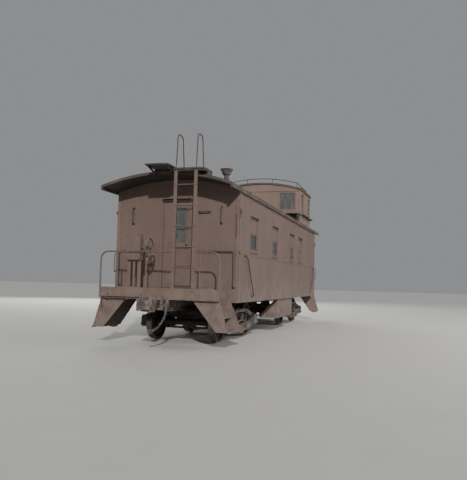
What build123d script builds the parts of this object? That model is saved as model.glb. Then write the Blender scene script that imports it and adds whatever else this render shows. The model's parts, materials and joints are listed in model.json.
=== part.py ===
"""Riveted steel cupola caboose on two four-wheel trucks.

X runs along the car, Y across it and Z up. The origin is the middle of the car at the level of the
flange tips. The cupola stands nearer the +X end.
"""

import os
from math import cos, radians, sin, sqrt

from build123d import *

os.makedirs("parts", exist_ok=True)

# car body (mm)
body_half = 5075.0  # end wall face to mid-length
side_half = 1448.0  # side face to centreline
wall = 60.0  # sheathing, frame and lining together
platform = 915.0  # end wall face to end sill face
deck_top = 1227.0
floor_thick = 90.0
skirt = 280.0  # side sheet below the deck top
belt_up = 809.0  # lap seam under the windows, above the deck top
belt_proud = 6.0
belt_high = 50.0
seam_wide = 90.0
seam_proud = 4.0
shell_gap = 0.3

# roof
eave_out = 42.0  # roof edge beyond the sides
roof_crown = 3667.0
roof_rise = 262.0
roof_thick = 55.0
eave_deep = 98.0
roof_back = 190.0  # end sill face to roof end

# windows
window_above = 74.0  # window opening above the lap seam
window_tall = 767.0
window_wide = 620.0
meeting_share = 0.508  # height of the meeting rail in the window
sash_thick = 30.0
sash_rim = 38.0
sash_sunk = 14.0  # blanked panels behind their rims
batten_wide = 40.0
glass_thick = 6.0
drip_proud = 45.0
drip_thick = 10.0
drip_over = 40.0  # drip cap beyond each window edge

# end doors
door_wide = 640.0
door_high = 1900.0
door_thick = 40.0
door_gap = 5.0
door_sunk = 18.0  # door face behind the wall face
hinge_r = 9.0
hinge_long = 60.0
hinge_in = 260.0  # hinge from the door's top or bottom
hinge_leaf = 42.0
door_glass_low = 1010.0
door_glass_high = 1760.0
door_glass_wide = 430.0
door_panel_deep = 8.0
knob_up = 960.0
knob_r = 24.0
hood_over = 15.0  # drip strip beyond the door opening
hood_up = 60.0
hood_out = 60.0
hood_thick = 12.0

# cupola
cupola_long = 1800.0
cupola_back = 1205.0  # cupola to the +X end wall face
cupola_high = 1140.0  # cupola crown above the roof crown
cupola_rise = 232.0
cupola_thick = 60.0
cupola_eave = 34.0  # roof edge beyond the walls
cupola_lip = 70.0
cupola_wall = 50.0
pane_low_share = 0.221  # of the height from roof crown to cupola shoulder
pane_high_share = 0.852
pane_drop = 32.0  # side windows lower than end windows
cupola_pane = 540.0  # end window width
cupola_side_pane = 480.0
pane_out_share = 0.68  # end window centre across the half width
cupola_side_in = 280.0  # side window centre from the cupola corner
cupola_rim = 30.0

# underframe
sill_high = 230.0  # end sill depth
sill_in = 123.0  # end sill shorter than the side, each side
sill_flange = 90.0
plate = 14.0
spine_half = 165.0  # centre sill webs
spine_low = 760.0
spine_flange = 70.0
side_sill_high = 100.0
side_sill_wide = 100.0
bolster_wide = 300.0
cross_wide = 120.0
cross_high = 150.0
cross_mid_high = 270.0
cross_mid_x = 1500.0
striker_half = 150.0
striker_out = 40.0
striker_lip = 40.0  # carrier below the shank
striker_up = 70.0
shank_room = 30.0
cut_lever_y = 1250.0
cut_lever_drop = 190.0
cut_lever_out = 42.0

# end decks and steps
well_in = 588.0  # deck edge from the side face
deck_thick = 60.0
bearer_long = 80.0
bearer_drop = 40.0
board_wide = 150.0
board_gap = 8.0
board_groove = 5.0
step_back = 100.0  # end sill face to the near stringer
step_plate = 10.0
step_drop = 617.0  # stringer height
step_over = 52.0  # stringer foot beyond the side face
step_foot = 215.0  # stringer width at the foot
step_lean_plate = 8.0
tread_thick = 24.0
tread_first = 43.0  # top tread below the stringer top
tread_pitch = 275.0
tread_deep = 225.0
tread_grow = 12.0
near_plate_in = 120.0  # near stringer's top beyond the well
near_foot_in = 35.0
far_foot_out = 50.0
foot_out = 105.0  # rounded foot beyond the stringer
foot_thick = 18.0

# trucks
flange = 27.0
wheel_r = 419.0
wheel_back = 677.5  # half the back-to-back distance
rim_wide = 140.0
axle_r = 72.0
journal_r = 63.5
journal_y = 965.0
journal_long = 170.0
bearing_gap = 0.05
wheelbase = 2134.0
truck_in = 2750.0  # end sill face to truck centre
frame_thick = 96.0
frame_low = 215.0
frame_high = 740.0
frame_mid_half = 430.0  # half length of the straight middle part
seat_half = 360.0  # half length of the spring opening
seat_low = 285.0
seat_high = 665.0
chord_lip = 26.0
chord_wide = 60.0
box_wide = 250.0
box_high = 270.0
box_deep = 190.0
lid_out = 24.0
lid_in = 22.0
spring_half = 330.0
spring_leaf = 44.0
spring_wide = 110.0
spring_low = 300.0
spring_high = 200.0
band_half = 45.0
band_proud = 8.0
bolster_half = 140.0
bolster_end_high = 110.0
bolster_belly = 70.0
centre_plate_z = 690.0
centre_plate_r = 150.0
side_plank_half = 150.0
side_plank_thick = 30.0
bolt_r = 16.0
bolt_out = 18.0
shoe_gap = 12.0
shoe_thick = 45.0
shoe_wide = 86.0
beam_dia = 56.0

# couplers
coupler_z = 903.0
shank_wide = 130.0
shank_high = 150.0
shank_long = 400.0
head_from = 300.0
head_long = 120.0
head_wide = 270.0
head_high = 280.0
horn_back = 20.0
guard_long = 190.0
guard_nose = 70.0
guard_flare = 10.0
lug_high = 40.0
lug_half = 48.0
pin_out = 495.0
pin_y = -78.0
pin_r = 18.0
knuckle_r = 52.0
knuckle_gap = 5.0

# rods, rails and ladders
rod = 24.0
rail_rod = 34.0
fitting_in = 22.0  # ladder and rails behind the end sill face
ladder_y = 546.0
ladder_gap = 440.0  # between stile centres
rung_pitch = 423.5  # also the first rung above the deck
stile_wide = 72.0
stile_thick = 14.0
loop_top = 4420.0
loop_r = 115.0
loop_lean = 50.0  # front leg's lean back over its height
loop_wide = 270.0  # across the top, between the legs' lines
high_rail_up = 740.0  # above the deck
high_rail_in = 9.0  # rail post from the sill's end
high_bend = 160.0
right_post_y = 905.0  # middle posts from the centreline
left_post_y = 930.0
grab_out = 62.0
grab_bend = 50.0
hand_up = 140.0
hand_in = 150.0
hand_mid_y = 440.0
hand_from_end = 30.0

# roof walk and boards
walk_up = 80.0  # above the roof crown
walk_thick = 32.0
plank_wide = 158.0
plank_gap = 12.0
walk_beyond = 250.0  # past the end sill face
saddle_pitch = 1080.0
saddle_half = 30.0
lateral_out = 950.0
lateral_long = 500.0
lateral_frame = 30.0
lateral_drop = 52.0  # ladder platform below the walk
bracket_drop = 110.0
bracket_thick = 12.0
board_under = 40.0  # cupola boards below the walk
board_from = 20.0
board_long = 380.0
board_leg = 40.0
ledge_wide = 110.0

# fittings
jack_in = 1085.0  # smokejack from the -X end wall face
jack_y = -775.0
jack_r = 62.0
jack_up = 258.0  # stem above the roof crown
hat_low_r = 95.0
hat_top_r = 148.0
hat_high = 130.0
brake_y = 577.0  # gear case centre
brake_half = 167.0
brake_up = 572.0
brake_high = 532.0
brake_deep = 170.0
brake_in = 60.0  # end sill face to the hand brake
leg_plate = 12.0
leg_slot_half = 26.0
leg_slots = [646.0, 542.0]  # slot centres across the car
hand_wheel_y = 257.0
hand_wheel_up = 830.0
hand_wheel_r = 190.0
hand_wheel_rim = 15.0
hub_r = 42.0
hub_long = 60.0
shaft_r = 14.0
chain_y = 318.0
cock_y = -255.0
hose_dia = 46.0
glad_long = 70.0
glad_r = 48.0
pipe_y = 1300.0
pipe_r = 40.0
pipe_long = 800.0
pipe_x = 2700.0
pipe_low = 182.0  # pipe centre below the floor

# tool boxes
box_half = 1030.0
box_set = 48.0  # box face behind the side face
box_across = 510.0
box_deep_z = 530.0
box_toe = 40.0
box_roof = 70.0
box_wall = 20.0
lid_top = 60.0
lid_thick = 16.0
latch_x = 450.0

# air brake gear
tank_x = -900.0
tank_r = 190.0
tank_long = 900.0
air_y = 520.0
air_drop = 300.0
cylinder_x = 700.0
cylinder_r = 150.0
cylinder_long = 420.0
piston_r = 22.0
piston_long = 240.0
strap_half = 25.0
strap_wide = 80.0

sill_x = body_half + platform
truck_x = sill_x - truck_in
axle_z = flange + wheel_r
floor_low = deck_top - floor_thick
side_low = deck_top - skirt
belt_z = deck_top + belt_up
window_low = belt_z + window_above
window_high = window_low + window_tall
window_mid = window_low + meeting_share * window_tall
roof_half = side_half + eave_out
eave_low = roof_crown - roof_rise - eave_deep
roof_end = sill_x - roof_back
roof_r = (roof_half**2 + roof_rise**2) / (2 * roof_rise)
cupola_to = body_half - cupola_back
cupola_from = cupola_to - cupola_long
cupola_crown = roof_crown + cupola_high
cupola_half = side_half
cupola_edge = cupola_half + cupola_eave
cupola_r = (cupola_edge**2 + cupola_rise**2) / (2 * cupola_rise)
shoulder = cupola_high - cupola_rise
cupola_sill = roof_crown + pane_low_share * shoulder
cupola_head = roof_crown + pane_high_share * shoulder
cupola_pane_y = pane_out_share * cupola_half
sill_half = side_half - sill_in
well_y = side_half - well_in
walk_top = roof_crown + walk_up
walk_low = walk_top - walk_thick


def block(x, y, z):
    """A box between pairs of X, Y and Z."""
    size = [abs(pair[1] - pair[0]) for pair in (x, y, z)]
    mid = [(pair[1] + pair[0]) / 2 for pair in (x, y, z)]
    return Pos(*mid) * Box(*size)


def along_x(points, x0, x1):
    """A (y, z) outline carried from x0 to x1."""
    face = Plane.YZ.offset(x0) * make_face(Polyline(*points, close=True))
    return extrude(face, x1 - x0, dir=(1, 0, 0))


def along_y(points, y0, y1):
    """An (x, z) outline carried from y0 to y1."""
    face = Plane.XZ.offset(-y0) * make_face(Polyline(*points, close=True))
    return extrude(face, y1 - y0, dir=(0, 1, 0))


def along_z(points, z0, z1):
    """An (x, y) outline carried from z0 to z1."""
    return extrude(Plane.XY.offset(z0) * make_face(Polyline(*points, close=True)), z1 - z0)


def bar(points, dia, bend):
    """A round bar bent through the points."""
    if len(points) == 2:
        path = Line(*points)
    else:
        path = FilletPolyline(*points, radius=bend)
    start = path @ 0
    return sweep(Plane(start, z_dir=path % 0) * Circle(dia / 2), path=path)


def arc_z(radius, crown, y):
    """Height of a roof arc at a distance from the centreline."""
    return crown - radius + sqrt(radius**2 - y**2)


def under_arc(radius, crown, drop, half, low, x0, x1):
    """What lies between a level and a roof arc set in by a drop."""
    inner = radius - drop
    edge = arc_z(inner, crown - drop, half)
    top = ThreePointArc((-half, edge), (0, crown - drop), (half, edge))
    rest = Polyline((half, edge), (half, low), (-half, low), (-half, edge))
    face = Plane.YZ.offset(x0) * make_face(top + rest)
    return extrude(face, x1 - x0, dir=(1, 0, 0))


def turned(piece):
    """A piece at the -X end with its twin turned round to the +X end."""
    return Compound(children=[piece, Rot(0, 0, 180) * piece])


def solids_of(*pieces):
    """Separate solids that share a node."""
    return Compound(children=[s for piece in pieces for s in piece.solids()])


def cyl(x, y, z, r, long, axis):
    """A cylinder centred at a point."""
    turn = {"x": Rot(0, 90, 0), "y": Rot(90, 0, 0), "z": Rot(0, 0, 0)}[axis]
    return Pos(x, y, z) * turn * Cylinder(r, long)


def both_sides(piece):
    """A piece with its twin across the centreline."""
    return solids_of(piece, mirror(piece, about=Plane.XZ))


parts = {}

# underframe
spine = along_x(
    [
        (-spine_half - spine_flange, spine_low),
        (-spine_half + plate, spine_low),
        (-spine_half + plate, floor_low - plate),
        (spine_half - plate, floor_low - plate),
        (spine_half - plate, spine_low),
        (spine_half + spine_flange, spine_low),
        (spine_half + spine_flange, spine_low + plate),
        (spine_half, spine_low + plate),
        (spine_half, floor_low),
        (-spine_half, floor_low),
        (-spine_half, spine_low + plate),
        (-spine_half - spine_flange, spine_low + plate),
    ],
    -sill_x + plate,
    sill_x - plate,
)
inner_y = side_half - wall
underframe = spine
side_sill = along_x(
    [
        (-inner_y, floor_low),
        (-inner_y, floor_low - side_sill_high),
        (-inner_y + side_sill_wide, floor_low - side_sill_high),
        (-inner_y + side_sill_wide, floor_low - side_sill_high + plate),
        (-inner_y + plate, floor_low - side_sill_high + plate),
        (-inner_y + plate, floor_low),
    ],
    -body_half + wall,
    body_half - wall,
)
underframe += side_sill
underframe += mirror(side_sill, about=Plane.XZ)
end_member_x = body_half - wall - cross_wide / 2
# cross members: (x, width along the car, depth at the centre sill)
cross_members = [
    (-truck_x, bolster_wide, floor_low - spine_low),
    (truck_x, bolster_wide, floor_low - spine_low),
    (-end_member_x, cross_wide, cross_high),
    (end_member_x, cross_wide, cross_high),
    (-cross_mid_x, cross_wide, cross_mid_high),
    (0.0, cross_wide, cross_mid_high),
    (cross_mid_x, cross_wide, cross_mid_high),
]
for x, wide, deep in cross_members:
    arm = along_x(
        [
            (-inner_y + plate, floor_low),
            (-inner_y + plate, floor_low - side_sill_high + plate),
            (-inner_y + side_sill_wide * 1.6, floor_low - side_sill_high),
            (-spine_half, floor_low - deep),
            (-spine_half, floor_low),
        ],
        x - wide / 2,
        x + wide / 2,
    )
    underframe += arm
    underframe += mirror(arm, about=Plane.XZ)
plate_z = (centre_plate_z + shell_gap + spine_low + plate) / 2
plate_high = spine_low + plate - centre_plate_z - shell_gap
for end in (-1, 1):
    underframe += block(
        (end * truck_x - bolster_wide / 2, end * truck_x + bolster_wide / 2),
        (-spine_half, spine_half),
        (spine_low, spine_low + plate),
    )
    underframe += cyl(end * truck_x, 0, plate_z, centre_plate_r, plate_high, "z")
parts["underframe"] = underframe

parts["floor"] = block(
    (-body_half + wall, body_half - wall), (-inner_y, inner_y), (floor_low, deck_top)
)

# end sills
sill_bottom = deck_top - sill_high
sill = along_y(
    [
        (-sill_x, sill_bottom),
        (-sill_x + sill_flange, sill_bottom),
        (-sill_x + sill_flange, sill_bottom + plate),
        (-sill_x + plate, sill_bottom + plate),
        (-sill_x + plate, deck_top - plate),
        (-sill_x + sill_flange, deck_top - plate),
        (-sill_x + sill_flange, deck_top),
        (-sill_x, deck_top),
    ],
    -sill_half,
    sill_half,
)
carrier = block(
    (-sill_x - striker_out, -sill_x + plate),
    (-striker_half, striker_half),
    (coupler_z - shank_high / 2 - striker_lip, sill_bottom + striker_up),
)
carrier -= block(
    (-sill_x - striker_out - 10, -sill_x + plate + 10),
    (-shank_wide / 2 - shank_room, shank_wide / 2 + shank_room),
    (coupler_z - shank_high / 2, coupler_z + shank_high / 2 + 8),
)
pocket = block(
    (-sill_x + plate, -sill_x + sill_flange + 10),
    (-spine_half, spine_half),
    (spine_low, floor_low),
)
sill = (sill + carrier) - pocket
lever_x = -sill_x - cut_lever_out
lever_z = sill_bottom + cut_lever_out
head_top = coupler_z + head_high / 2
lever = bar(
    [
        (lever_x, cut_lever_y, lever_z - cut_lever_drop),
        (lever_x, cut_lever_y, lever_z),
        (lever_x, striker_half + 60, lever_z),
        (-sill_x - head_from - head_long / 2, 40, head_top + rod),
    ],
    rod,
    40.0,
)
sill += lever
# lever brackets: (y)
for y in (cut_lever_y - 130, striker_half + 190):
    sill += block((lever_x - rod, -sill_x + 1), (y - 15, y + 15), (lever_z - 18, lever_z + 18))
parts["end_sills"] = turned(sill)

# decks
deck_x0 = -sill_x + sill_flange
deck = block((deck_x0, -body_half), (-well_y, well_y), (deck_top - deck_thick, deck_top))
deck_bearer = block(
    (-body_half - bearer_long, -body_half),
    (-well_y, well_y),
    (floor_low - bearer_drop, deck_top - deck_thick),
)
bearer_cut = block(
    (-body_half - bearer_long - 10, -body_half + 10),
    (-spine_half, spine_half),
    (spine_low, floor_low),
)
deck += deck_bearer - bearer_cut
boards_each_side = int(well_y / board_wide)
for cut in range(-boards_each_side, boards_each_side + 1):
    y = cut * board_wide
    deck -= block(
        (deck_x0 - 1, -body_half + 1),
        (y - board_gap / 2, y + board_gap / 2),
        (deck_top - board_groove, deck_top + 1),
    )
parts["decks"] = turned(deck)

# steps
step_top = sill_bottom
step_low = step_top - step_drop
step_out = side_half + step_over
foot_in = step_out - step_foot
near_x = -sill_x + step_back
lean = (foot_in - well_y) / step_drop
near_plate = [
    (-well_y + near_plate_in, step_top),
    (-sill_half, step_top),
    (-step_out, step_low),
    (-foot_in + near_foot_in, step_low),
]
far_plate = [
    (-well_y, deck_top - deck_thick),
    (-side_half + 20, deck_top - deck_thick),
    (-side_half + 20, side_low),
    (-sill_half + 20, side_low),
    (-step_out - far_foot_out, step_low),
    (-foot_in, step_low),
    (-well_y, step_top),
]
steps = along_x(near_plate, near_x, near_x + step_plate)
steps += along_x(far_plate, -body_half - step_plate, -body_half)
first_top = step_top - tread_first
first_y = well_y + lean * tread_first
steps += along_x(
    [
        (-first_y, first_top),
        (-first_y - step_lean_plate, first_top),
        (-foot_in - step_lean_plate, step_low),
        (-foot_in, step_low),
    ],
    near_x,
    -body_half,
)
for k in range(3):
    top = first_top - k * tread_pitch
    back = well_y + lean * (step_top - top)
    deep = tread_deep + tread_grow * k
    steps += block((near_x, -body_half), (-back - deep, -back - 4), (top - tread_thick, top))
    steps += block((near_x, -body_half), (-back - deep, -back - deep + 8), (top - 45, top - 1))
# the far stringer ends in a rounded foot: (y beyond the stringer, z above its foot)
foot = [
    (-foot_out * 0.57, 110.0),
    (foot_out * 0.55, 84.0),
    (foot_out * 0.95, 40.0),
    (foot_out, 0.0),
    (foot_out * 0.8, -36.0),
    (foot_out * 0.3, -58.0),
    (-foot_out * 0.7, -66.0),
    (-foot_out * 1.5, -40.0),
    (-foot_out * 1.6, 4.0),
]
steps += along_x(
    [(-step_out - y, step_low + z) for y, z in foot], -body_half - foot_thick, -body_half
)
one_end = both_sides(steps)
parts["steps"] = solids_of(one_end, Rot(0, 0, 180) * one_end)

# sides
# side windows: (centre as a share of the half length, blanked)
windows = [(-0.7616, False), (-0.331, False), (0.1202, False), (0.3961, True)]
window_x = [share * body_half for share, blanked in windows]
envelope = under_arc(
    roof_r, roof_crown, roof_thick + shell_gap, side_half, side_low, -body_half, body_half
)
side = block((-body_half, body_half), (-side_half, -inner_y), (side_low, roof_crown))
side &= envelope
side += block(
    (-body_half, body_half),
    (-side_half - belt_proud, -side_half + 1),
    (belt_z - belt_high, belt_z),
)
# vertical laps beside the first three windows and at the corners: (x)
seam_x = [x - window_wide / 2 - seam_wide / 2 for x in window_x[:3]]
seam_x += [-body_half + seam_wide / 2, body_half - seam_wide / 2]
for x in seam_x:
    side += block(
        (x - seam_wide / 2, x + seam_wide / 2),
        (-side_half - seam_proud, -side_half + 1),
        (belt_z - 1, eave_low - 2),
    )
for x in window_x:
    side -= block(
        (x - window_wide / 2, x + window_wide / 2),
        (-side_half - 20, -inner_y + 20),
        (window_low, window_high),
    )
    side += block(
        (x - window_wide / 2 - drip_over, x + window_wide / 2 + drip_over),
        (-side_half - drip_proud, -side_half + 1),
        (window_high + 6, window_high + 6 + drip_thick),
    )
parts["side_right"] = side
parts["side_left"] = mirror(side, about=Plane.XZ)

# end walls
door_half = door_wide / 2
door_head = deck_top + door_high
end_wall = block((-body_half, -body_half + wall), (-inner_y, inner_y), (side_low, roof_crown))
end_wall &= envelope
end_wall -= block(
    (-body_half - 10, -body_half + wall + 10), (-door_half, door_half), (deck_top, door_head)
)
end_wall -= block(
    (-body_half + plate, -body_half + wall + 10),
    (-inner_y - 1, inner_y + 1),
    (side_low - 1, deck_top),
)
end_wall += block(
    (-body_half - hood_out, -body_half + 1),
    (-door_half - hood_over, door_half + hood_over),
    (door_head + hood_up, door_head + hood_up + hood_thick),
)
end_wall -= block(
    (-body_half - 1, -body_half + wall + 1),
    (-spine_half - spine_flange, spine_half + spine_flange),
    (spine_low, floor_low),
)
hinge_x = -body_half + wall + hinge_r
hinge_y = door_half - door_gap / 2
hinge_z = [deck_top + hinge_in, door_head - hinge_in]
for z in hinge_z:
    end_wall += Pos(hinge_x, hinge_y, z + hinge_long / 2) * Cylinder(hinge_r, hinge_long)
    end_wall += block(
        (-body_half + wall - 1, hinge_x),
        (hinge_y + 3, hinge_y + 3 + hinge_leaf),
        (z, z + hinge_long),
    )
parts["end_wall_a"] = end_wall
parts["end_wall_b"] = Rot(0, 0, 180) * end_wall

# doors
leaf_half = door_half - door_gap
door_z0 = deck_top + door_gap
door_z1 = door_head - door_gap
door_x0 = -body_half + door_sunk
door_x1 = door_x0 + door_thick
leaf = block((door_x0, door_x1), (-leaf_half, leaf_half), (door_z0, door_z1))
glass_half = door_glass_wide / 2
pane_z0 = deck_top + door_glass_low
pane_z1 = deck_top + door_glass_high
leaf -= block((door_x0 - 1, door_x1 + 1), (-glass_half, glass_half), (pane_z0, pane_z1))
# sunk panels below the glass: (low, high) as shares of the height under the glass
for low_share, high_share in [(0.11, 0.475), (0.555, 0.91)]:
    leaf -= block(
        (door_x0 - 1, door_x0 + door_panel_deep),
        (-glass_half - 20, glass_half + 20),
        (deck_top + low_share * door_glass_low, deck_top + high_share * door_glass_low),
    )
for z in hinge_z:
    z_mid = z - hinge_long / 2 - shell_gap
    leaf += Pos(hinge_x, hinge_y, z_mid) * Cylinder(hinge_r, hinge_long)
    leaf += block(
        (door_x1 - 1, hinge_x),
        (hinge_y - 3 - hinge_leaf, hinge_y - 3),
        (z_mid - hinge_long / 2, z_mid + hinge_long / 2),
    )
knob_y = -leaf_half + 60
knob_z = deck_top + knob_up
leaf += cyl(door_x0 - knob_r * 0.8, knob_y, knob_z, 8, knob_r * 1.8, "x")
leaf += Pos(door_x0 - knob_r * 2, knob_y, knob_z) * Sphere(knob_r)
parts["door_a"] = leaf
parts["door_b"] = Rot(0, 0, 180) * leaf
door_pane = block(
    (door_x0 + 17, door_x0 + 17 + glass_thick), (-glass_half, glass_half), (pane_z0, pane_z1)
)
parts["door_glass_a"] = door_pane
parts["door_glass_b"] = Rot(0, 0, 180) * door_pane

# roof
roof = under_arc(roof_r, roof_crown, 0, roof_half, eave_low, -roof_end, roof_end)
roof -= under_arc(
    roof_r, roof_crown, roof_thick, side_half + shell_gap, eave_low - 50, -roof_end, roof_end
)
cup_in0 = cupola_from + cupola_wall
cup_in1 = cupola_to - cupola_wall
cup_in_y = cupola_half - cupola_wall
roof -= block((cup_in0, cup_in1), (-cup_in_y, cup_in_y), (eave_low - 60, roof_crown + 10))
parts["roof"] = roof
above_roof = under_arc(
    roof_r, roof_crown, -shell_gap, roof_half, eave_low - 100, -roof_end - 1, roof_end + 1
)

# cupola
cup_body = block(
    (cupola_from, cupola_to), (-cupola_half, cupola_half), (eave_low, cupola_crown)
)
cup_body &= under_arc(
    cupola_r, cupola_crown, cupola_thick, cupola_half, eave_low, cupola_from, cupola_to
)
cup_body -= block((cup_in0, cup_in1), (-cup_in_y, cup_in_y), (eave_low - 1, cupola_crown))
cup_body -= under_arc(
    roof_r, roof_crown, 0, roof_half, eave_low - 100, cupola_from - 10, cupola_to + 10
)
pane_half = cupola_pane / 2
side_pane_half = cupola_side_pane / 2
for y in (-cupola_pane_y, cupola_pane_y):
    cup_body -= block(
        (cupola_from - 10, cupola_to + 10),
        (y - pane_half, y + pane_half),
        (cupola_sill, cupola_head),
    )
for x in (cupola_from + cupola_side_in, cupola_to - cupola_side_in):
    cup_body -= block(
        (x - side_pane_half, x + side_pane_half),
        (-cupola_half - 10, cupola_half + 10),
        (cupola_sill - pane_drop, cupola_head - pane_drop),
    )
# two end panels with two side panels between them
panel_x = [(cupola_from, cup_in0), (cup_in1, cupola_to)]
panels = [
    cup_body & block(x, (-cupola_half, cupola_half), (eave_low, cupola_crown)) for x in panel_x
]
for y in ((-cupola_half, -cup_in_y), (cup_in_y, cupola_half)):
    panels.append(cup_body & block((cup_in0, cup_in1), y, (eave_low, cupola_crown)))
parts["cupola_walls"] = solids_of(*panels)
cup_edge_z = cupola_crown - cupola_rise
cup_top = under_arc(
    cupola_r,
    cupola_crown,
    0,
    cupola_edge,
    cup_edge_z - cupola_lip,
    cupola_from - cupola_eave,
    cupola_to + cupola_eave,
)
cup_top -= under_arc(
    cupola_r,
    cupola_crown,
    cupola_thick - shell_gap,
    cupola_half + shell_gap,
    cup_edge_z - cupola_lip * 3,
    cupola_from - cupola_eave - 1,
    cupola_to + cupola_eave + 1,
)
parts["cupola_roof"] = cup_top

# sashes and glass
sashes = []
panes = []
sash_y = side_half - wall / 2
y0 = sash_y - sash_thick / 2
y1 = sash_y + sash_thick / 2
for x, (share, blanked) in zip(window_x, windows):
    x0 = x - window_wide / 2
    x1 = x + window_wide / 2
    frame = block((x0, x1), (y0, y1), (window_low, window_high))
    low_z = (window_low + sash_rim, window_mid - sash_rim / 2)
    high_z = (window_mid + sash_rim / 2, window_high - sash_rim)
    clear_x = (x0 + sash_rim, x1 - sash_rim)
    if blanked:
        frame -= block(clear_x, (y1 - sash_sunk, y1 + 1), high_z)
        for a, b in ((clear_x[0], x - batten_wide / 2), (x + batten_wide / 2, clear_x[1])):
            frame -= block((a, b), (y1 - sash_sunk, y1 + 1), low_z)
    else:
        frame -= block(clear_x, (y0 - 1, y1 + 1), low_z)
        pane = block(clear_x, (sash_y - glass_thick / 2, sash_y + glass_thick / 2), low_z)
        panes += [pane, mirror(pane, about=Plane.XZ)]
    sashes += [frame, mirror(frame, about=Plane.XZ)]
mid_in = cupola_wall / 2
for y in (-cupola_pane_y, cupola_pane_y):
    for x in (cupola_from + mid_in, cupola_to - mid_in):
        opening = block((x - 12, x + 12), (y - pane_half, y + pane_half), (cupola_sill, cupola_head))
        clear = (y - pane_half + cupola_rim, y + pane_half - cupola_rim)
        clear_z = (cupola_sill + cupola_rim, cupola_head - cupola_rim)
        sashes.append(opening - block((x - 13, x + 13), clear, clear_z))
        panes.append(block((x - glass_thick / 2, x + glass_thick / 2), clear, clear_z))
side_sill_z = cupola_sill - pane_drop
side_head_z = cupola_head - pane_drop
for x in (cupola_from + cupola_side_in, cupola_to - cupola_side_in):
    for y in (-cupola_half + mid_in, cupola_half - mid_in):
        opening = block(
            (x - side_pane_half, x + side_pane_half), (y - 12, y + 12), (side_sill_z, side_head_z)
        )
        clear = (x - side_pane_half + cupola_rim, x + side_pane_half - cupola_rim)
        clear_z = (side_sill_z + cupola_rim, side_head_z - cupola_rim)
        sashes.append(opening - block(clear, (y - 13, y + 13), clear_z))
        panes.append(block(clear, (y - glass_thick / 2, y + glass_thick / 2), clear_z))
parts["window_sashes"] = solids_of(*sashes)
parts["window_glass"] = solids_of(*panes)

# roof walk
walk_half = 1.5 * plank_wide + plank_gap
walk_end = sill_x + walk_beyond


def saddle(x, half_y):
    """A cross bearer shaped to the roof."""
    low = arc_z(roof_r, roof_crown, half_y)
    return block((x - saddle_half, x + saddle_half), (-half_y, half_y), (low, walk_low)) - above_roof


walks = []
# runs of the walk: (from x, to x)
for x0, x1 in [(-walk_end, cupola_from - 2 * board_from), (cupola_to + 2 * board_from, walk_end)]:
    run = None
    for k in (-1, 0, 1):
        y = k * (plank_wide + plank_gap)
        board = block((x0, x1), (y - plank_wide / 2, y + plank_wide / 2), (walk_low, walk_top))
        run = board if run is None else run + board
    a = max(x0, -roof_end) + 2 * saddle_half
    b = min(x1, roof_end) - 2 * saddle_half
    count = max(2, round((b - a) / saddle_pitch) + 1)
    for k in range(count):
        run += saddle(a + (b - a) * k / (count - 1), walk_half)
    tip = -1 if x0 < 0 else 1
    for y in (-walk_half + 40, walk_half - 40):
        bracket = along_y(
            [
                (tip * (walk_end - 20), walk_low + 1),
                (tip * (walk_end - 20), walk_low - bracket_thick),
                (tip * (roof_end + 40), walk_low - bracket_drop),
                (tip * (roof_end - 1), walk_low - bracket_drop),
                (tip * (roof_end - 1), walk_low - bracket_drop + 40),
                (tip * (roof_end + 60), walk_low - bracket_drop + 50),
                (tip * (walk_end - 160), walk_low + 1),
            ],
            y - bracket_thick / 2,
            y + bracket_thick / 2,
        )
        run += bracket - above_roof
    walks.append(run)
lateral_top = walk_top - lateral_drop
lateral_low = lateral_top - walk_thick
lateral = block(
    (-sill_x, -sill_x + lateral_long), (-lateral_out, -walk_half - 1), (lateral_low, lateral_top)
)
lateral += block(
    (-sill_x + 20, -sill_x + lateral_long - 20),
    (-lateral_out, -walk_half - 1),
    (lateral_low - lateral_frame, lateral_low),
)
lateral -= above_roof
near_brace = block(
    (-roof_end + 10, -sill_x + lateral_long - 20),
    (-lateral_out, -lateral_out + lateral_frame),
    (roof_crown - roof_rise, lateral_low),
)
lateral += near_brace - above_roof
parts["roof_walk"] = solids_of(walks[0], walks[1], lateral, Rot(0, 0, 180) * lateral)

# cupola boards
board_top = walk_top - board_under
board_low = board_top - walk_thick
board_x = (cupola_from - board_from - board_long, cupola_from - board_from)
leg_x = (board_x[0], board_x[1] - board_leg)
boards = []
for y in (-1, 1):
    front = block(board_x, sorted((y * (walk_half + 20), y * side_half)), (board_low, board_top))
    # legs: (inner edge across)
    for leg_y in (side_half - 1.5 * board_leg, walk_half + 2 * board_leg):
        leg = block(
            leg_x, sorted((y * leg_y, y * (leg_y + board_leg))), (eave_low, board_low + 1)
        )
        front += leg - above_roof
    boards.append(front)
    boards.append(
        block(
            (cupola_from, cupola_to),
            sorted((y * side_half, y * (side_half + ledge_wide))),
            (board_low, board_top),
        )
    )
parts["cupola_boards"] = solids_of(*boards)

# smokejack
jack_x = -body_half + jack_in
jack_base = arc_z(roof_r, roof_crown, abs(jack_y)) - 60
jack_top = roof_crown + jack_up
stem = Pos(jack_x, jack_y, (jack_base + jack_top) / 2) * Cylinder(jack_r, jack_top - jack_base)
collar = Pos(jack_x, jack_y, jack_base + 60) * Cone(jack_r * 2.1, jack_r, 80)
hat = Pos(jack_x, jack_y, jack_top + hat_high / 2 - 10) * Cone(hat_low_r, hat_top_r, hat_high)
parts["smokejack"] = (stem + collar - above_roof) + hat

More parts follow.
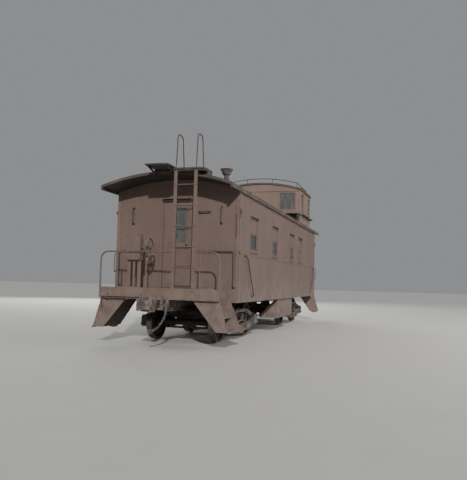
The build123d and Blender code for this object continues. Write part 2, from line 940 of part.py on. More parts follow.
# ladders
ladder = None
stile_x = -sill_x + fitting_in
stile_top = lateral_low - lateral_frame
for side_of in (-1, 1):
    y = -ladder_y + side_of * ladder_gap / 2
    stile = block(
        (stile_x - stile_thick / 2, stile_x + stile_thick / 2),
        (y - stile_wide / 2, y + stile_wide / 2),
        (deck_top, stile_top),
    )
    ladder = stile if ladder is None else ladder + stile
for k in range(int((stile_top - deck_top) / rung_pitch)):
    z = deck_top + rung_pitch * (k + 1)
    ladder += cyl(stile_x, -ladder_y, z, rod / 2, ladder_gap + stile_wide - 20, "y")
loops = []
for side_of in (-1, 1):
    y = -ladder_y + side_of * ladder_gap / 2
    loop = bar(
        [
            (-sill_x + 30, y, lateral_top - rod),
            (-sill_x + 30 + loop_lean, y, loop_top),
            (-sill_x + 30 + loop_lean + loop_wide, y, loop_top),
            (-sill_x + lateral_long - 30, y, lateral_top - rod),
        ],
        rod,
        loop_r,
    )
    # the leaning legs end level with the boards
    loops.append(
        loop
        - block(
            (-sill_x, -sill_x + lateral_long),
            (y - rod, y + rod),
            (lateral_top - 3 * rod, lateral_top),
        )
    )
one_ladder = solids_of(ladder, *loops)
parts["ladders"] = solids_of(one_ladder, Rot(0, 0, 180) * one_ladder)

# end rails
rail_x = -sill_x + fitting_in
high_z = deck_top + high_rail_up
high_y = sill_half - high_rail_in
stile_in_y = -ladder_y + ladder_gap / 2 + stile_wide / 2
stile_out_y = -ladder_y - ladder_gap / 2 - stile_wide / 2
left_high = bar(
    [(rail_x, high_y, deck_top), (rail_x, high_y, high_z), (rail_x, stile_in_y, high_z)],
    rail_rod,
    high_bend,
)
right_high = bar(
    [(rail_x, -high_y, deck_top), (rail_x, -high_y, high_z), (rail_x, stile_out_y, high_z)],
    rail_rod,
    high_bend,
)
left_high += cyl(rail_x, left_post_y, (deck_top + high_z) / 2, rod / 2, high_rail_up, "z")
right_high += cyl(rail_x, -right_post_y, (deck_top + high_z) / 2, rod / 2, high_rail_up, "z")
one_rails = solids_of(left_high, right_high)
parts["end_rails"] = solids_of(one_rails, Rot(0, 0, 180) * one_rails)

# grab irons
wall_x = -body_half
side_y = side_half
# end wall grabs on both sides: (y, z) runs standing off the wall, and their bend
wall_grabs = [
    ([(0.36 * side_half, 2030.0), (side_half - 103, 2030.0), (side_half - 103, 1262.0)], grab_bend),
    ([(side_half - 403, 2990.0), (side_half - 403, 2640.0)], 30.0),
]
grabs = []
for s in (-1, 1):
    for run, bend in wall_grabs:
        first, last = run[0], run[-1]
        path = [(wall_x, s * first[0], first[1])]
        path += [(wall_x - grab_out, s * y, z) for y, z in run]
        path += [(wall_x, s * last[0], last[1])]
        grabs.append(bar(path, rod, bend))
    grabs.append(
        bar(
            [
                (-body_half + 465, s * side_y, belt_z - 76),
                (-body_half + 465, s * (side_y + grab_out), belt_z - 76),
                (-body_half + 1085, s * (side_y + grab_out), side_low + 128),
                (-body_half + 1085, s * side_y, side_low + 128),
            ],
            rod,
            grab_bend - 5,
        )
    )
grabs.append(
    bar(
        [
            (wall_x, -0.37 * side_half, 2887.0),
            (wall_x - grab_out, -0.37 * side_half, 2887.0),
            (wall_x - grab_out, -0.53 * side_half, 2887.0),
            (wall_x, -0.53 * side_half, 2887.0),
        ],
        rod,
        30.0,
    )
)
one_grabs = solids_of(*grabs)
parts["grab_irons"] = solids_of(one_grabs, Rot(0, 0, 180) * one_grabs)

# cupola handrail
hand_y = cupola_half - hand_in
hand_x = (cupola_from + hand_from_end, cupola_to - hand_from_end)
above_cupola = under_arc(
    cupola_r, cupola_crown, -shell_gap, cupola_edge, eave_low, cupola_from - 100, cupola_to + 100
)
hand = None
for x in hand_x:
    ends = [(x, y, arc_z(cupola_r, cupola_crown, y) + hand_up) for y in (-hand_y, hand_y)]
    path = ThreePointArc(ends[0], (x, 0, cupola_crown + hand_up), ends[1])
    rail = sweep(Plane(path @ 0, z_dir=path % 0) * Circle(rod / 2), path=path)
    hand = rail if hand is None else hand + rail
    for y in (-hand_y, -hand_mid_y, hand_mid_y, hand_y):
        z = arc_z(cupola_r, cupola_crown, y)
        hand += cyl(x, y, z + hand_up / 2 - 10, rod / 2, hand_up + 20, "z") - above_cupola
for y in (-hand_y, hand_y):
    z = arc_z(cupola_r, cupola_crown, y) + hand_up
    hand += bar([(hand_x[0], y, z), (hand_x[1], y, z)], rod, 0)
    x_mid = (hand_x[0] + hand_x[1]) / 2
    hand += cyl(x_mid, y, z - hand_up / 2 - 10, rod / 2, hand_up + 20, "z") - above_cupola
parts["cupola_rail"] = hand

# hand brakes
brake_x = -sill_x + brake_in
case_x = (brake_x - 20, brake_x - 20 + brake_deep)
case_z = (deck_top + brake_up, deck_top + brake_up + brake_high)
stand = block(case_x, (brake_y - brake_half + 25, brake_y + brake_half), case_z)
leg_x = brake_x + brake_deep / 2 - 20
pedestal = block(
    (leg_x - leg_plate / 2, leg_x + leg_plate / 2),
    (brake_y - brake_half + 25, brake_y + brake_half),
    (deck_top, case_z[0] + 1),
)
for y in leg_slots:
    pedestal -= block(
        (leg_x - leg_plate, leg_x + leg_plate),
        (y - leg_slot_half, y + leg_slot_half),
        (deck_top + 15, case_z[0] - 25),
    )
stand += pedestal
wheel_z = deck_top + hand_wheel_up
shaft_x = brake_x + 65
shaft_end = hand_wheel_y - hub_long
case_y = brake_y - brake_half + 25
stand += cyl(shaft_x, (case_y + shaft_end) / 2, wheel_z, shaft_r, case_y - shaft_end + 4, "y")
stand += cyl(shaft_x, chain_y, (wheel_z + deck_top) / 2, 10, wheel_z - deck_top, "z")
parts["brake_stands"] = turned(stand)
hub = cyl(shaft_x, hand_wheel_y, wheel_z, hub_r, hub_long, "y")
rim = Pos(shaft_x, hand_wheel_y, wheel_z) * Rot(90, 0, 0) * Torus(hand_wheel_r, hand_wheel_rim)
hand_wheel = hub + rim
for k in range(5):
    a = radians(90 + 72 * k)
    spoke = [
        (shaft_x + r * cos(a), hand_wheel_y, wheel_z + r * sin(a))
        for r in (hub_r * 0.7, hand_wheel_r - 2)
    ]
    hand_wheel += bar(spoke, 20, 0)
hand_wheel -= cyl(shaft_x, hand_wheel_y, wheel_z, shaft_r + bearing_gap, 400, "y")
parts["brake_wheels"] = turned(hand_wheel)

# couplers
sx = -sill_x
face_x = sx - head_from - head_long
shank = block(
    (sx - head_from - 10, sx + shank_long),
    (-shank_wide / 2, shank_wide / 2),
    (coupler_z - shank_high / 2, coupler_z + shank_high / 2),
)
z0 = coupler_z - head_high / 2
z1 = coupler_z + head_high / 2
head = along_z(
    [
        (sx - head_from, -shank_wide / 2),
        (sx - head_from, shank_wide / 2),
        (sx - head_from - head_long * 0.35, head_wide / 2),
        (face_x, head_wide / 2),
        (face_x, -head_wide / 2),
        (sx - head_from - head_long * 0.35, -head_wide / 2),
    ],
    z0,
    z1,
)
head += along_z(
    [
        (face_x, head_wide / 2 - guard_nose),
        (face_x - guard_long * 0.8, head_wide / 2 - guard_nose * 0.57),
        (face_x - guard_long, head_wide / 2 + guard_flare),
        (face_x, head_wide / 2),
    ],
    z0 + horn_back,
    z1 - horn_back,
)
px = sx - pin_out
boss_half = head_high / 2 - lug_high - knuckle_gap
for lug_z0, lug_z1 in ((z0, z0 + lug_high), (z1 - lug_high, z1)):
    head += block((px, face_x + 5), (pin_y - lug_half, pin_y + lug_half), (lug_z0, lug_z1))
    head += Pos(px, pin_y, (lug_z0 + lug_z1) / 2) * Cylinder(lug_half, lug_high)
head += Pos(px, pin_y, coupler_z) * Cylinder(pin_r, head_high + 30)
parts["couplers"] = turned(head + shank)
# knuckle outline: (ahead of the pin, across from the pin)
nose = [
    (-20.0, -48.0),
    (70.0, -45.0),
    (118.0, -5.0),
    (122.0, 70.0),
    (100.0, 105.0),
    (60.0, 105.0),
    (48.0, 60.0),
    (10.0, 46.0),
]
knuckle = along_z(
    [(px - x, pin_y + y) for x, y in nose], coupler_z - boss_half, coupler_z + boss_half
)
knuckle += Pos(px, pin_y, coupler_z) * Cylinder(knuckle_r, 2 * boss_half)
knuckle -= Pos(px, pin_y, coupler_z) * Cylinder(pin_r + bearing_gap, 2 * boss_half + 10)
parts["knuckle_a"] = knuckle
parts["knuckle_b"] = Rot(0, 0, 180) * knuckle

# air hoses
cock_z = coupler_z - 23
cock = bar([(sx, cock_y, cock_z), (sx - 90, cock_y, cock_z)], 60, 0)
cock += block((sx - 130, sx - 60), (cock_y - 38, cock_y + 38), (cock_z - 38, cock_z + 38))
cock += bar([(sx - 95, cock_y, cock_z - 30), (sx - 95, cock_y, cock_z - 80)], 62, 0)
cock += block((sx - 60, sx), (cock_y - 30, cock_y + 30), (cock_z, sill_bottom))
parts["angle_cocks"] = turned(cock)
# hose route from the cock: (out from the sill, across from the cock, below the cock)
hose_route = [
    (95.0, 0.0, 80.0),
    (95.0, 0.0, 180.0),
    (128.0, 14.0, 290.0),
    (200.0, 44.0, 388.0),
    (300.0, 82.0, 455.0),
    (412.0, 114.0, 475.0),
]
hose_pts = [(sx - x, cock_y + y, cock_z - z) for x, y, z in hose_route]


def hose_radii(points):
    """Each arc takes most of the shorter of the two runs that it joins."""
    found = []
    for a, b, c in zip(points, points[1:], points[2:]):
        one = Vector(*b) - Vector(*a)
        two = Vector(*c) - Vector(*b)
        turn = radians(one.get_angle(two))
        found.append(0.45 * min(one.length, two.length) / (sin(turn / 2) / cos(turn / 2)))
    return found


hose_path = FilletPolyline(*hose_pts, radius=hose_radii(hose_pts))
hose = sweep(Plane(hose_path @ 0, z_dir=hose_path % 0) * Circle(hose_dia / 2), path=hose_path)
print("hose length", round(hose_path.length))
parts["air_hose_a"] = hose
parts["air_hose_b"] = Rot(0, 0, 180) * hose
tip = hose_path @ 1
aim = (hose_path % 1).normalized()
glad = bar([tuple(tip), tuple(tip + aim * glad_long)], hose_dia + 10, 0)
mid = tip + aim * (glad_long + 30)
glad += Pos(*mid) * Rot(90, 0, 0) * Cylinder(glad_r, hose_dia)
parts["glad_hand_a"] = glad
parts["glad_hand_b"] = Rot(0, 0, 180) * glad

# tool boxes
box_out = side_half - box_set
box_in = box_out - box_across
box_top = side_low - shell_gap
box_low = box_top - box_deep_z
tool = along_x(
    [
        (-box_out, box_top),
        (-box_out, box_low),
        (-box_in, box_low),
        (-box_in, box_low + box_toe),
        (-box_out + box_roof, box_top),
    ],
    -box_half,
    box_half,
)
lid_head = box_top - lid_top
tool -= along_x(
    [
        (-box_out - 1, lid_head),
        (-box_out - 1, box_low + box_wall),
        (-box_in - box_toe, box_low + box_wall),
        (-box_in - box_toe, box_low + box_toe + 2),
        (-box_out + box_roof - 8, lid_head),
    ],
    -box_half + box_wall,
    box_half - box_wall,
)
lid_axis_y = -box_out - hinge_r
lid_axis_z = lid_head + 6
lid_hinges = [-0.68 * box_half, 0.0, 0.68 * box_half]
for x in lid_hinges:
    tool += cyl(x + hinge_long / 2, lid_axis_y, lid_axis_z, hinge_r, hinge_long, "x")
    tool += block(
        (x, x + hinge_long), (lid_axis_y, -box_out + 1), (lid_axis_z + 2, lid_axis_z + 40)
    )
parts["tool_boxes"] = both_sides(tool)
lid_low = box_low + box_wall + door_gap
lid_high = lid_head - door_gap
lid = block(
    (-box_half + box_wall + door_gap, box_half - box_wall - door_gap),
    (-box_out, -box_out + lid_thick),
    (lid_low, lid_high),
)
for x in lid_hinges:
    x_mid = x - hinge_long / 2 - shell_gap
    lid += cyl(x_mid, lid_axis_y, lid_axis_z, hinge_r, hinge_long, "x")
    lid_x = (x_mid - hinge_long / 2, x_mid + hinge_long / 2)
    lid += block(lid_x, (lid_axis_y, -box_out + 1), (lid_axis_z - 40, lid_high))
    lid += block(lid_x, (lid_axis_y, -box_out - shell_gap), (lid_high - 1, lid_axis_z - 2))
for x in (-latch_x, latch_x):
    lid += block((x - 25, x + 25), (-box_out - 22, -box_out + 1), (lid_low + 200, lid_low + 260))
    lid += block((x - 8, x + 8), (-box_out - 34, -box_out + 1), (lid_low + 170, lid_low + 290))
parts["tool_door_right"] = lid
parts["tool_door_left"] = mirror(lid, about=Plane.XZ)

# air brake gear
air_z = floor_low - air_drop
tank = cyl(tank_x, air_y, air_z, tank_r, tank_long, "x")
cylinder = cyl(cylinder_x, air_y, air_z, cylinder_r, cylinder_long, "x")
piston_x = cylinder_x - cylinder_long / 2 - piston_long / 2 + 10
cylinder += cyl(piston_x, air_y, air_z, piston_r, piston_long, "x")
gear = []
for piece, x in ((tank, tank_x), (cylinder, cylinder_x)):
    strap = block(
        (x - strap_half, x + strap_half),
        (air_y - strap_wide / 2, air_y + strap_wide / 2),
        (air_z + cylinder_r - 80, floor_low),
    )
    gear.append(piece + strap)
pipe_z = floor_low - pipe_low
pipe = cyl(-pipe_x, -pipe_y, pipe_z, pipe_r, pipe_long, "x")
pipe += cyl(-pipe_x - pipe_long / 2 + 30, -pipe_y, pipe_z, pipe_r + 14, 50, "x")
for x in (-pipe_x - pipe_long / 4, -pipe_x + pipe_long / 4):
    pipe += block(
        (x - strap_half, x + strap_half),
        (-pipe_y - 6, -pipe_y + 6),
        (pipe_z, floor_low - side_sill_high),
    )
gear.append(pipe)
gear.append(Rot(0, 0, 180) * pipe)
parts["brake_gear"] = solids_of(*gear)

# trucks
tz = axle_z
half_base = wheelbase / 2


def truck_side(x_mid):
    """One side frame with its two journal boxes."""
    box_end = half_base + box_wide / 2
    box_start = half_base - box_wide / 2
    half = [
        (frame_mid_half, frame_low),
        (box_start - 90, tz - box_high / 2 - 18),
        (box_start, tz - box_high / 2),
        (box_end, tz - box_high / 2),
        (box_end, tz + box_high / 2),
        (box_start - 10, tz + box_high / 2 + 44),
        (box_start - 150, tz + box_high / 2 + 70),
        (frame_mid_half + 60, frame_high - 16),
        (frame_mid_half - 60, frame_high),
    ]
    outline = half + [(-x, z) for x, z in reversed(half)]
    y0 = -journal_y - frame_thick / 2
    y1 = -journal_y + frame_thick / 2
    frame = along_y([(x_mid + x, z) for x, z in outline], y0, y1)
    frame -= block((x_mid - seat_half, x_mid + seat_half), (y0 - 1, y1 + 1), (seat_low, seat_high))
    for s in (-1, 1):
        eye = [
            (s * (frame_mid_half + 20), frame_low + 85),
            (s * (frame_mid_half + 20), frame_high - 100),
            (s * (box_start - 82), tz + 74),
            (s * (box_start - 82), tz - 46),
        ]
        frame -= along_y([(x_mid + x, z) for x, z in eye], y0 - 1, y1 + 1)
        # flange lips along the lower chord
        lip = [
            (s * frame_mid_half, frame_low),
            (s * (box_start - 40), tz - box_high / 2 - 10),
            (s * (box_start - 40), tz - box_high / 2 + 12),
            (s * frame_mid_half, frame_low + chord_lip),
        ]
        frame += along_y([(x_mid + x, z) for x, z in lip], y0 - chord_wide / 2, y1)
        xj = x_mid + s * half_base
        face_y = -journal_y - box_deep / 2 - 10
        frame += block(
            (xj - box_wide / 2, xj + box_wide / 2),
            (face_y, -journal_y + box_deep / 2 - 10),
            (tz - box_high / 2, tz + box_high / 2),
        )
        frame += along_y(
            [
                (xj - box_wide / 2 + lid_in, tz - box_high / 2 + lid_in),
                (xj + box_wide / 2 - lid_in, tz - box_high / 2 + lid_in),
                (xj + box_wide / 2 - lid_in, tz + box_high / 2 - 60),
                (xj + 40, tz + box_high / 2 - lid_in),
                (xj - 40, tz + box_high / 2 - lid_in),
                (xj - box_wide / 2 + lid_in, tz + box_high / 2 - 60),
            ],
            face_y - lid_out,
            face_y + 1,
        )
        frame += cyl(xj, face_y - lid_out / 2, tz + box_high / 2 - 13, 14, 150, "x")
        for bolt_x in (xj - box_wide / 2 - 30, xj + box_wide / 2 - 250):
            frame += cyl(bolt_x, y0 - bolt_out / 2 + 1, tz - box_high / 2 + 8, bolt_r, bolt_out, "y")
        bore_y0 = -journal_y - journal_long / 2
        bore_y1 = -journal_y + 200
        frame -= cyl(
            xj, (bore_y0 + bore_y1) / 2, tz, journal_r + bearing_gap, bore_y1 - bore_y0, "y"
        )
    frame += block(
        (x_mid - frame_mid_half, x_mid + frame_mid_half),
        (y0 - chord_wide / 2, y1),
        (frame_low, frame_low + chord_lip),
    )
    return frame


def leaf_pack(x_mid, y_mid):
    """A full elliptic spring of leaves with its two bands."""
    low = spring_low
    high = spring_low + spring_high
    mid_z = (low + high) / 2
    solid = None
    for s in (-1, 1):
        outer = low if s < 0 else high
        inner = outer - s * spring_leaf
        a = ThreePointArc((x_mid - spring_half, mid_z), (x_mid, outer), (x_mid + spring_half, mid_z))
        b = ThreePointArc(
            (x_mid + spring_half - 40, mid_z), (x_mid, inner), (x_mid - spring_half + 40, mid_z)
        )
        c = Line((x_mid + spring_half, mid_z), (x_mid + spring_half - 40, mid_z))
        d = Line((x_mid - spring_half + 40, mid_z), (x_mid - spring_half, mid_z))
        face = Plane.XZ.offset(-(y_mid - spring_wide / 2)) * make_face(a + b + c + d)
        leaf = extrude(face, spring_wide, dir=(0, 1, 0))
        solid = leaf if solid is None else solid + leaf
    for s in (-1, 1):
        solid += cyl(x_mid + s * (spring_half - 18), y_mid, mid_z, 20, spring_wide, "y")
    bands = (
        (low - 15, low + spring_leaf + band_proud),
        (high - spring_leaf - band_proud, high + 15),
    )
    for z0, z1 in bands:
        solid += block(
            (x_mid - band_half, x_mid + band_half),
            (y_mid - spring_wide / 2 - band_proud, y_mid + spring_wide / 2 + band_proud),
            (z0, z1),
        )
    return solid


def brake_beam(x_mid, s):
    """A brake beam with a shoe at each wheel of the axle on side s of the truck centre."""
    axle = x_mid + s * half_base
    tread_x = axle - s * (wheel_r + shoe_gap)
    beam_x = tread_x - s * (shoe_thick + beam_dia / 2)
    beam_z = tz - 70
    piece = cyl(beam_x, 0, beam_z, beam_dia / 2, 2 * (wheel_back + rim_wide) - 40, "y")
    for t in (-1, 1):
        shoe_y = t * (wheel_back + rim_wide / 2 + 12)
        shoe = block(
            sorted((tread_x + s * 60, beam_x)),
            (shoe_y - shoe_wide / 2, shoe_y + shoe_wide / 2),
            (tz - 180, tz + 60),
        )
        shoe -= cyl(axle, shoe_y, tz, wheel_r + shoe_gap, shoe_wide + 10, "y")
        piece += shoe
    piece += block(
        sorted((beam_x, x_mid + s * (side_plank_half - 10))),
        (-60, 60),
        (frame_low + 2, frame_low + 22),
    )
    piece += block((beam_x - 12, beam_x + 12), (-60, 60), (frame_low + 2, beam_z))
    return piece


bolster_low = spring_low + spring_high + 15
for name, x_mid in (("a", -truck_x), ("b", truck_x)):
    one = truck_side(x_mid)
    parts["truck_sides_" + name] = both_sides(one)
    out_y = journal_y + 70
    bolster = along_x(
        [
            (-out_y, bolster_low),
            (-out_y, bolster_low + bolster_end_high),
            (-600, centre_plate_z - 45),
            (600, centre_plate_z - 45),
            (out_y, bolster_low + bolster_end_high),
            (out_y, bolster_low),
            (880, bolster_low),
            (500, bolster_low - bolster_belly),
            (-500, bolster_low - bolster_belly),
            (-880, bolster_low),
        ],
        x_mid - bolster_half,
        x_mid + bolster_half,
    )
    bolster += Pos(x_mid, 0, centre_plate_z - 30) * Cylinder(centre_plate_r + 20, 60)
    # bolts in the bolster ends: (x from the middle, z above the bolster's underside)
    for x, z in [(-90.0, 40.0), (90.0, 40.0), (-90.0, 85.0), (90.0, 85.0)]:
        for s in (-1, 1):
            bolster += cyl(x_mid + x, s * (out_y + 8), bolster_low + z, bolt_r, bolt_out, "y")
    side_plank = block(
        (x_mid - side_plank_half, x_mid + side_plank_half),
        (-journal_y + frame_thick / 2, journal_y - frame_thick / 2),
        (frame_low, frame_low + side_plank_thick),
    )
    side_plank += brake_beam(x_mid, -1)
    side_plank += brake_beam(x_mid, 1)
    parts["truck_bolster_" + name] = solids_of(bolster, side_plank)
    parts["springs_" + name] = both_sides(leaf_pack(x_mid, -journal_y))

# wheel half-profile: (distance from mid-axle, radius)
wheel_face = wheel_back + rim_wide
profile = [
    (0, 0),
    (0, axle_r),
    (wheel_back - 25, axle_r + 8),
    (wheel_back - 25, axle_r + 60),
    (wheel_back + 25, axle_r + 68),
    (wheel_back + 40, wheel_r - 75),
    (wheel_back, wheel_r - 58),
    (wheel_back, wheel_r + flange - 12),
    (wheel_back + 12, wheel_r + flange),
    (wheel_back + 24, wheel_r + flange - 2),
    (wheel_back + 40, wheel_r + 2),
    (wheel_face, wheel_r - 5),
    (wheel_face, wheel_r - 58),
    (wheel_back + 66, wheel_r - 75),
    (wheel_back + 56, axle_r + 68),
    (wheel_face + 12, axle_r + 60),
    (wheel_face + 12, axle_r + 4),
    (wheel_face + 40, journal_r),
    (journal_y + journal_long / 2 - 8, journal_r),
    (journal_y + journal_long / 2 - 8, 0),
]
half_profile = make_face(Polyline(*[(r, y) for y, r in profile], close=True))
half_axle = revolve(half_profile, axis=Axis.Y)
wheelset = half_axle + mirror(half_axle, about=Plane.XZ)
axle_x = [-truck_x - half_base, -truck_x + half_base, truck_x - half_base, truck_x + half_base]
for k, x in enumerate(axle_x):
    parts["wheelset_" + str(k + 1)] = Pos(x, 0, tz) * wheelset

for name, shape in parts.items():
    shape.label = name
    export_step(shape, "parts/" + name + ".step")
    print(name, len(shape.solids()), [round(v) for v in shape.bounding_box().size])
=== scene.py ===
"""Finish and small fittings of a riveted steel cupola caboose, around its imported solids.

Lengths are in metres. X runs along the car towards the cupola end, Y across it and Z up.
"""

import json
from math import cos, pi, radians, sin, sqrt

import bpy
from mathutils import Matrix, Vector


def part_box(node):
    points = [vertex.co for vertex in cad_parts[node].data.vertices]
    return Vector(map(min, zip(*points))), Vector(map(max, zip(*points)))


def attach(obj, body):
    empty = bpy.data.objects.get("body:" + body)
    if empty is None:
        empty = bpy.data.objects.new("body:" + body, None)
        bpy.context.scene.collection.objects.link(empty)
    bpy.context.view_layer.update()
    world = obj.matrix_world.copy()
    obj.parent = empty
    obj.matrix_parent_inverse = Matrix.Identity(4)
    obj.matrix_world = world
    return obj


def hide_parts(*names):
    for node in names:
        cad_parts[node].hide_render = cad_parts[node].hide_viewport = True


bl_info = {
    "name": "Riveted Caboose Finish",
    "version": (1, 0, 0),
    "blender": (4, 5, 0),
    "location": "View3D > Sidebar > Caboose",
    "description": "Paint, wear, rivets, seams, trim, hoses and stage for a steel cupola caboose",
    "category": "Object",
}

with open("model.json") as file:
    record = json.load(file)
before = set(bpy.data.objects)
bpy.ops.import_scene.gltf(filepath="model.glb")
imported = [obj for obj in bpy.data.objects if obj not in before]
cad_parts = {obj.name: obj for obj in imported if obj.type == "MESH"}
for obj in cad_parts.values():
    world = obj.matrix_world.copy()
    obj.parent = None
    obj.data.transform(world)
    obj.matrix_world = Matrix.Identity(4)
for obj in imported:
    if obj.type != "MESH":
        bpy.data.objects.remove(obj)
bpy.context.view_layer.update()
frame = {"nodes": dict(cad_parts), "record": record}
NODES = frame["nodes"]

ENDS = (-1, 1)
SIDES = (-1, 1)

# the body: the floor ends a wall's thickness inside the sheets
WALL = 0.06
FLOOR_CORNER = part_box("floor")[1]
BODY_HALF = FLOOR_CORNER[0] + WALL
SIDE_HALF = FLOOR_CORNER[1] + WALL
DECK_TOP = FLOOR_CORNER[2]
SIDE_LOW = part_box("side_right")[0][2]
BELT_Z = DECK_TOP + 0.809
EAVE_ROW = 3.27
SILL_THICK = 0.09
SILL_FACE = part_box("decks")[1][0] + SILL_THICK
SILL_HALF = SIDE_HALF - 0.123
BOX_FACE = 1.4

# the roofs: each is an arc that falls by its rise at its half width
ROOF_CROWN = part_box("roof")[1][2]
ROOF_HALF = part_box("roof")[1][1]
ROOF_RISE = 0.262
CUPOLA_FROM, CUPOLA_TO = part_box("cupola_walls")[0][0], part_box("cupola_walls")[1][0]
CUPOLA_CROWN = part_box("cupola_roof")[1][2]
CUPOLA_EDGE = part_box("cupola_roof")[1][1]
CUPOLA_RISE = 0.232
CUPOLA_TALL = 1.14
PANE_SHARES = (0.221, 0.852)

# the trucks
TRUCK_X = SILL_FACE - 2.75
HALF_BASE = 1.067
FLANGE_RADIUS = 0.446
TREAD_FROM, TREAD_TO = 0.404, 0.414
AXLE_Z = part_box("wheelset_1")[0][2] + FLANGE_RADIUS
JOURNAL_Y = 0.965

# windows and doors
WINDOW_X = [share * BODY_HALF for share in (-0.7616, -0.331, 0.1202, 0.3961)]
BLANKED_X = WINDOW_X[3]
WINDOW_HALF = 0.31
WINDOW_TALL = 0.767
WINDOW_LOW = BELT_Z + 0.074
WINDOW_HIGH = WINDOW_LOW + WINDOW_TALL
WINDOW_MID = WINDOW_LOW + 0.508 * WINDOW_TALL
DOOR_HALF = 0.32
DOOR_HEAD = DECK_TOP + 1.9


def linear(code):
    """An sRGB hex colour as linear red, green, blue and alpha."""
    found = []
    for k in (1, 3, 5):
        c = int(code[k : k + 2], 16) / 255
        found.append(c / 12.92 if c <= 0.04045 else ((c + 0.055) / 1.055) ** 2.4)
    return (*found, 1.0)


# sizes and colours that a user would change
class CabooseCamera(bpy.types.PropertyGroup):
    """Where the camera stands and looks."""

    place: bpy.props.FloatVectorProperty(
        name="Place",
        description="Where the camera stands",
        default=(-16.6042, -4.8749, 1.3869),
        subtype="TRANSLATION",
        unit="LENGTH",
    )
    yaw: bpy.props.FloatProperty(
        name="Yaw",
        description="Turn of the view from along the car towards its left side",
        default=radians(17.131),
        subtype="ANGLE",
    )
    pitch: bpy.props.FloatProperty(
        name="Pitch",
        description="Tilt of the view above level",
        default=radians(4.239),
        subtype="ANGLE",
    )
    roll: bpy.props.FloatProperty(
        name="Roll",
        description="Lean of the camera about its view",
        default=radians(1.467),
        subtype="ANGLE",
    )
    lens: bpy.props.FloatProperty(
        name="Lens",
        description="Focal length in millimetres for a 36 mm sensor",
        default=42.559,
        min=10.0,
    )


class CaboosePaint(bpy.types.PropertyGroup):
    """Colours of the main finishes."""

    body: bpy.props.FloatVectorProperty(
        name="Body",
        description="Oil enamel of the sides, ends and sills",
        default=linear("#65534a"),
        size=4,
        subtype="COLOR",
    )
    roof: bpy.props.FloatVectorProperty(
        name="Roof",
        description="Roof enamel before soot",
        default=linear("#65554d"),
        size=4,
        subtype="COLOR",
    )
    soot: bpy.props.FloatVectorProperty(
        name="Soot",
        description="Soot that lies on the roof",
        default=linear("#2c2826"),
        size=4,
        subtype="COLOR",
    )
    dust: bpy.props.FloatVectorProperty(
        name="Dust",
        description="Road dust low on the body and on ledges",
        default=linear("#928980"),
        size=4,
        subtype="COLOR",
    )
    rust: bpy.props.FloatVectorProperty(
        name="Rust",
        description="Rust at chips, rivets and edges",
        default=linear("#4d372e"),
        size=4,
        subtype="COLOR",
    )


class CabooseFasteners(bpy.types.PropertyGroup):
    """Rivets and bolts."""

    rivet_dia: bpy.props.FloatProperty(
        name="Rivet head",
        description="Diameter of a rivet head",
        default=0.026,
        min=0.005,
        unit="LENGTH",
    )
    rivet_high: bpy.props.FloatProperty(
        name="Rivet height",
        description="Height of a rivet head",
        default=0.009,
        min=0.001,
        unit="LENGTH",
    )
    rivet_pitch: bpy.props.FloatProperty(
        name="Rivet pitch",
        description="Distance from one rivet to the next along a seam",
        default=0.085,
        min=0.03,
        unit="LENGTH",
    )
    nut_dia: bpy.props.FloatProperty(
        name="Nut",
        description="Width of a nut across its corners",
        default=0.038,
        min=0.005,
        unit="LENGTH",
    )


class CabooseTrim(bpy.types.PropertyGroup):
    """Window and door mouldings and roof seams."""

    trim_wide: bpy.props.FloatProperty(
        name="Trim width",
        description="Width of the mouldings round windows and doors",
        default=0.03,
        min=0.005,
        unit="LENGTH",
    )
    trim_proud: bpy.props.FloatProperty(
        name="Trim height",
        description="How far the mouldings stand off the sheet",
        default=0.008,
        min=0.001,
        unit="LENGTH",
    )
    seam_wide: bpy.props.FloatProperty(
        name="Roof seam width",
        description="Width of the lap strips across the roof",
        default=0.06,
        min=0.01,
        unit="LENGTH",
    )
    seam_proud: bpy.props.FloatProperty(
        name="Roof seam height",
        description="Height of the lap strips across the roof",
        default=0.005,
        min=0.001,
        unit="LENGTH",
    )


class CabooseStage(bpy.types.PropertyGroup):
    """Floor, sky and lamps."""

    floor: bpy.props.FloatVectorProperty(
        name="Floor",
        description="Colour of the plain floor",
        default=linear("#c9c7c4"),
        size=4,
        subtype="COLOR",
    )
    sky: bpy.props.FloatVectorProperty(
        name="Sky",
        description="Colour of the plain surround",
        default=linear("#c4c6c8"),
        size=4,
        subtype="COLOR",
    )
    sky_power: bpy.props.FloatProperty(
        name="Surround power", description="Strength of the plain surround", default=0.5, min=0.0
    )
    key_strength: bpy.props.FloatProperty(
        name="Key strength", description="Strength of the low, distant key lamp", default=2.9
    )
    side_power: bpy.props.FloatProperty(
        name="Side power", description="Power of the wide side lamp", default=1500.0, unit="POWER"
    )
    fill_power: bpy.props.FloatProperty(
        name="Fill power", description="Power of the lamp behind the car", default=3600.0, unit="POWER"
    )


# shared tools
def add(tree, kind, settings=None, sockets=None):
    """Adds a node, sets its properties, and joins or sets its sockets."""
    made = tree.nodes.new(kind)
    for name, value in (settings or {}).items():
        setattr(made, name, value)
    for key, value in (sockets or {}).items():
        if isinstance(value, bpy.types.NodeSocket):
            tree.links.new(value, made.inputs[key])
        else:
            made.inputs[key].default_value = value
    return made


def start_finish(name, **fixed):
    """A new material, its node tree, its shader with the fixed values, and its coordinates."""
    material = bpy.data.materials.new(name)
    material.use_nodes = True
    tree = material.node_tree
    tree.nodes.clear()
    sockets = {key.replace("_", " "): value for key, value in fixed.items()}
    shader = add(tree, "ShaderNodeBsdfPrincipled", sockets=sockets)
    add(tree, "ShaderNodeOutputMaterial", sockets={"Surface": shader.outputs[0]})
    where = add(tree, "ShaderNodeTexCoord").outputs["Object"]
    return material, tree, shader, where


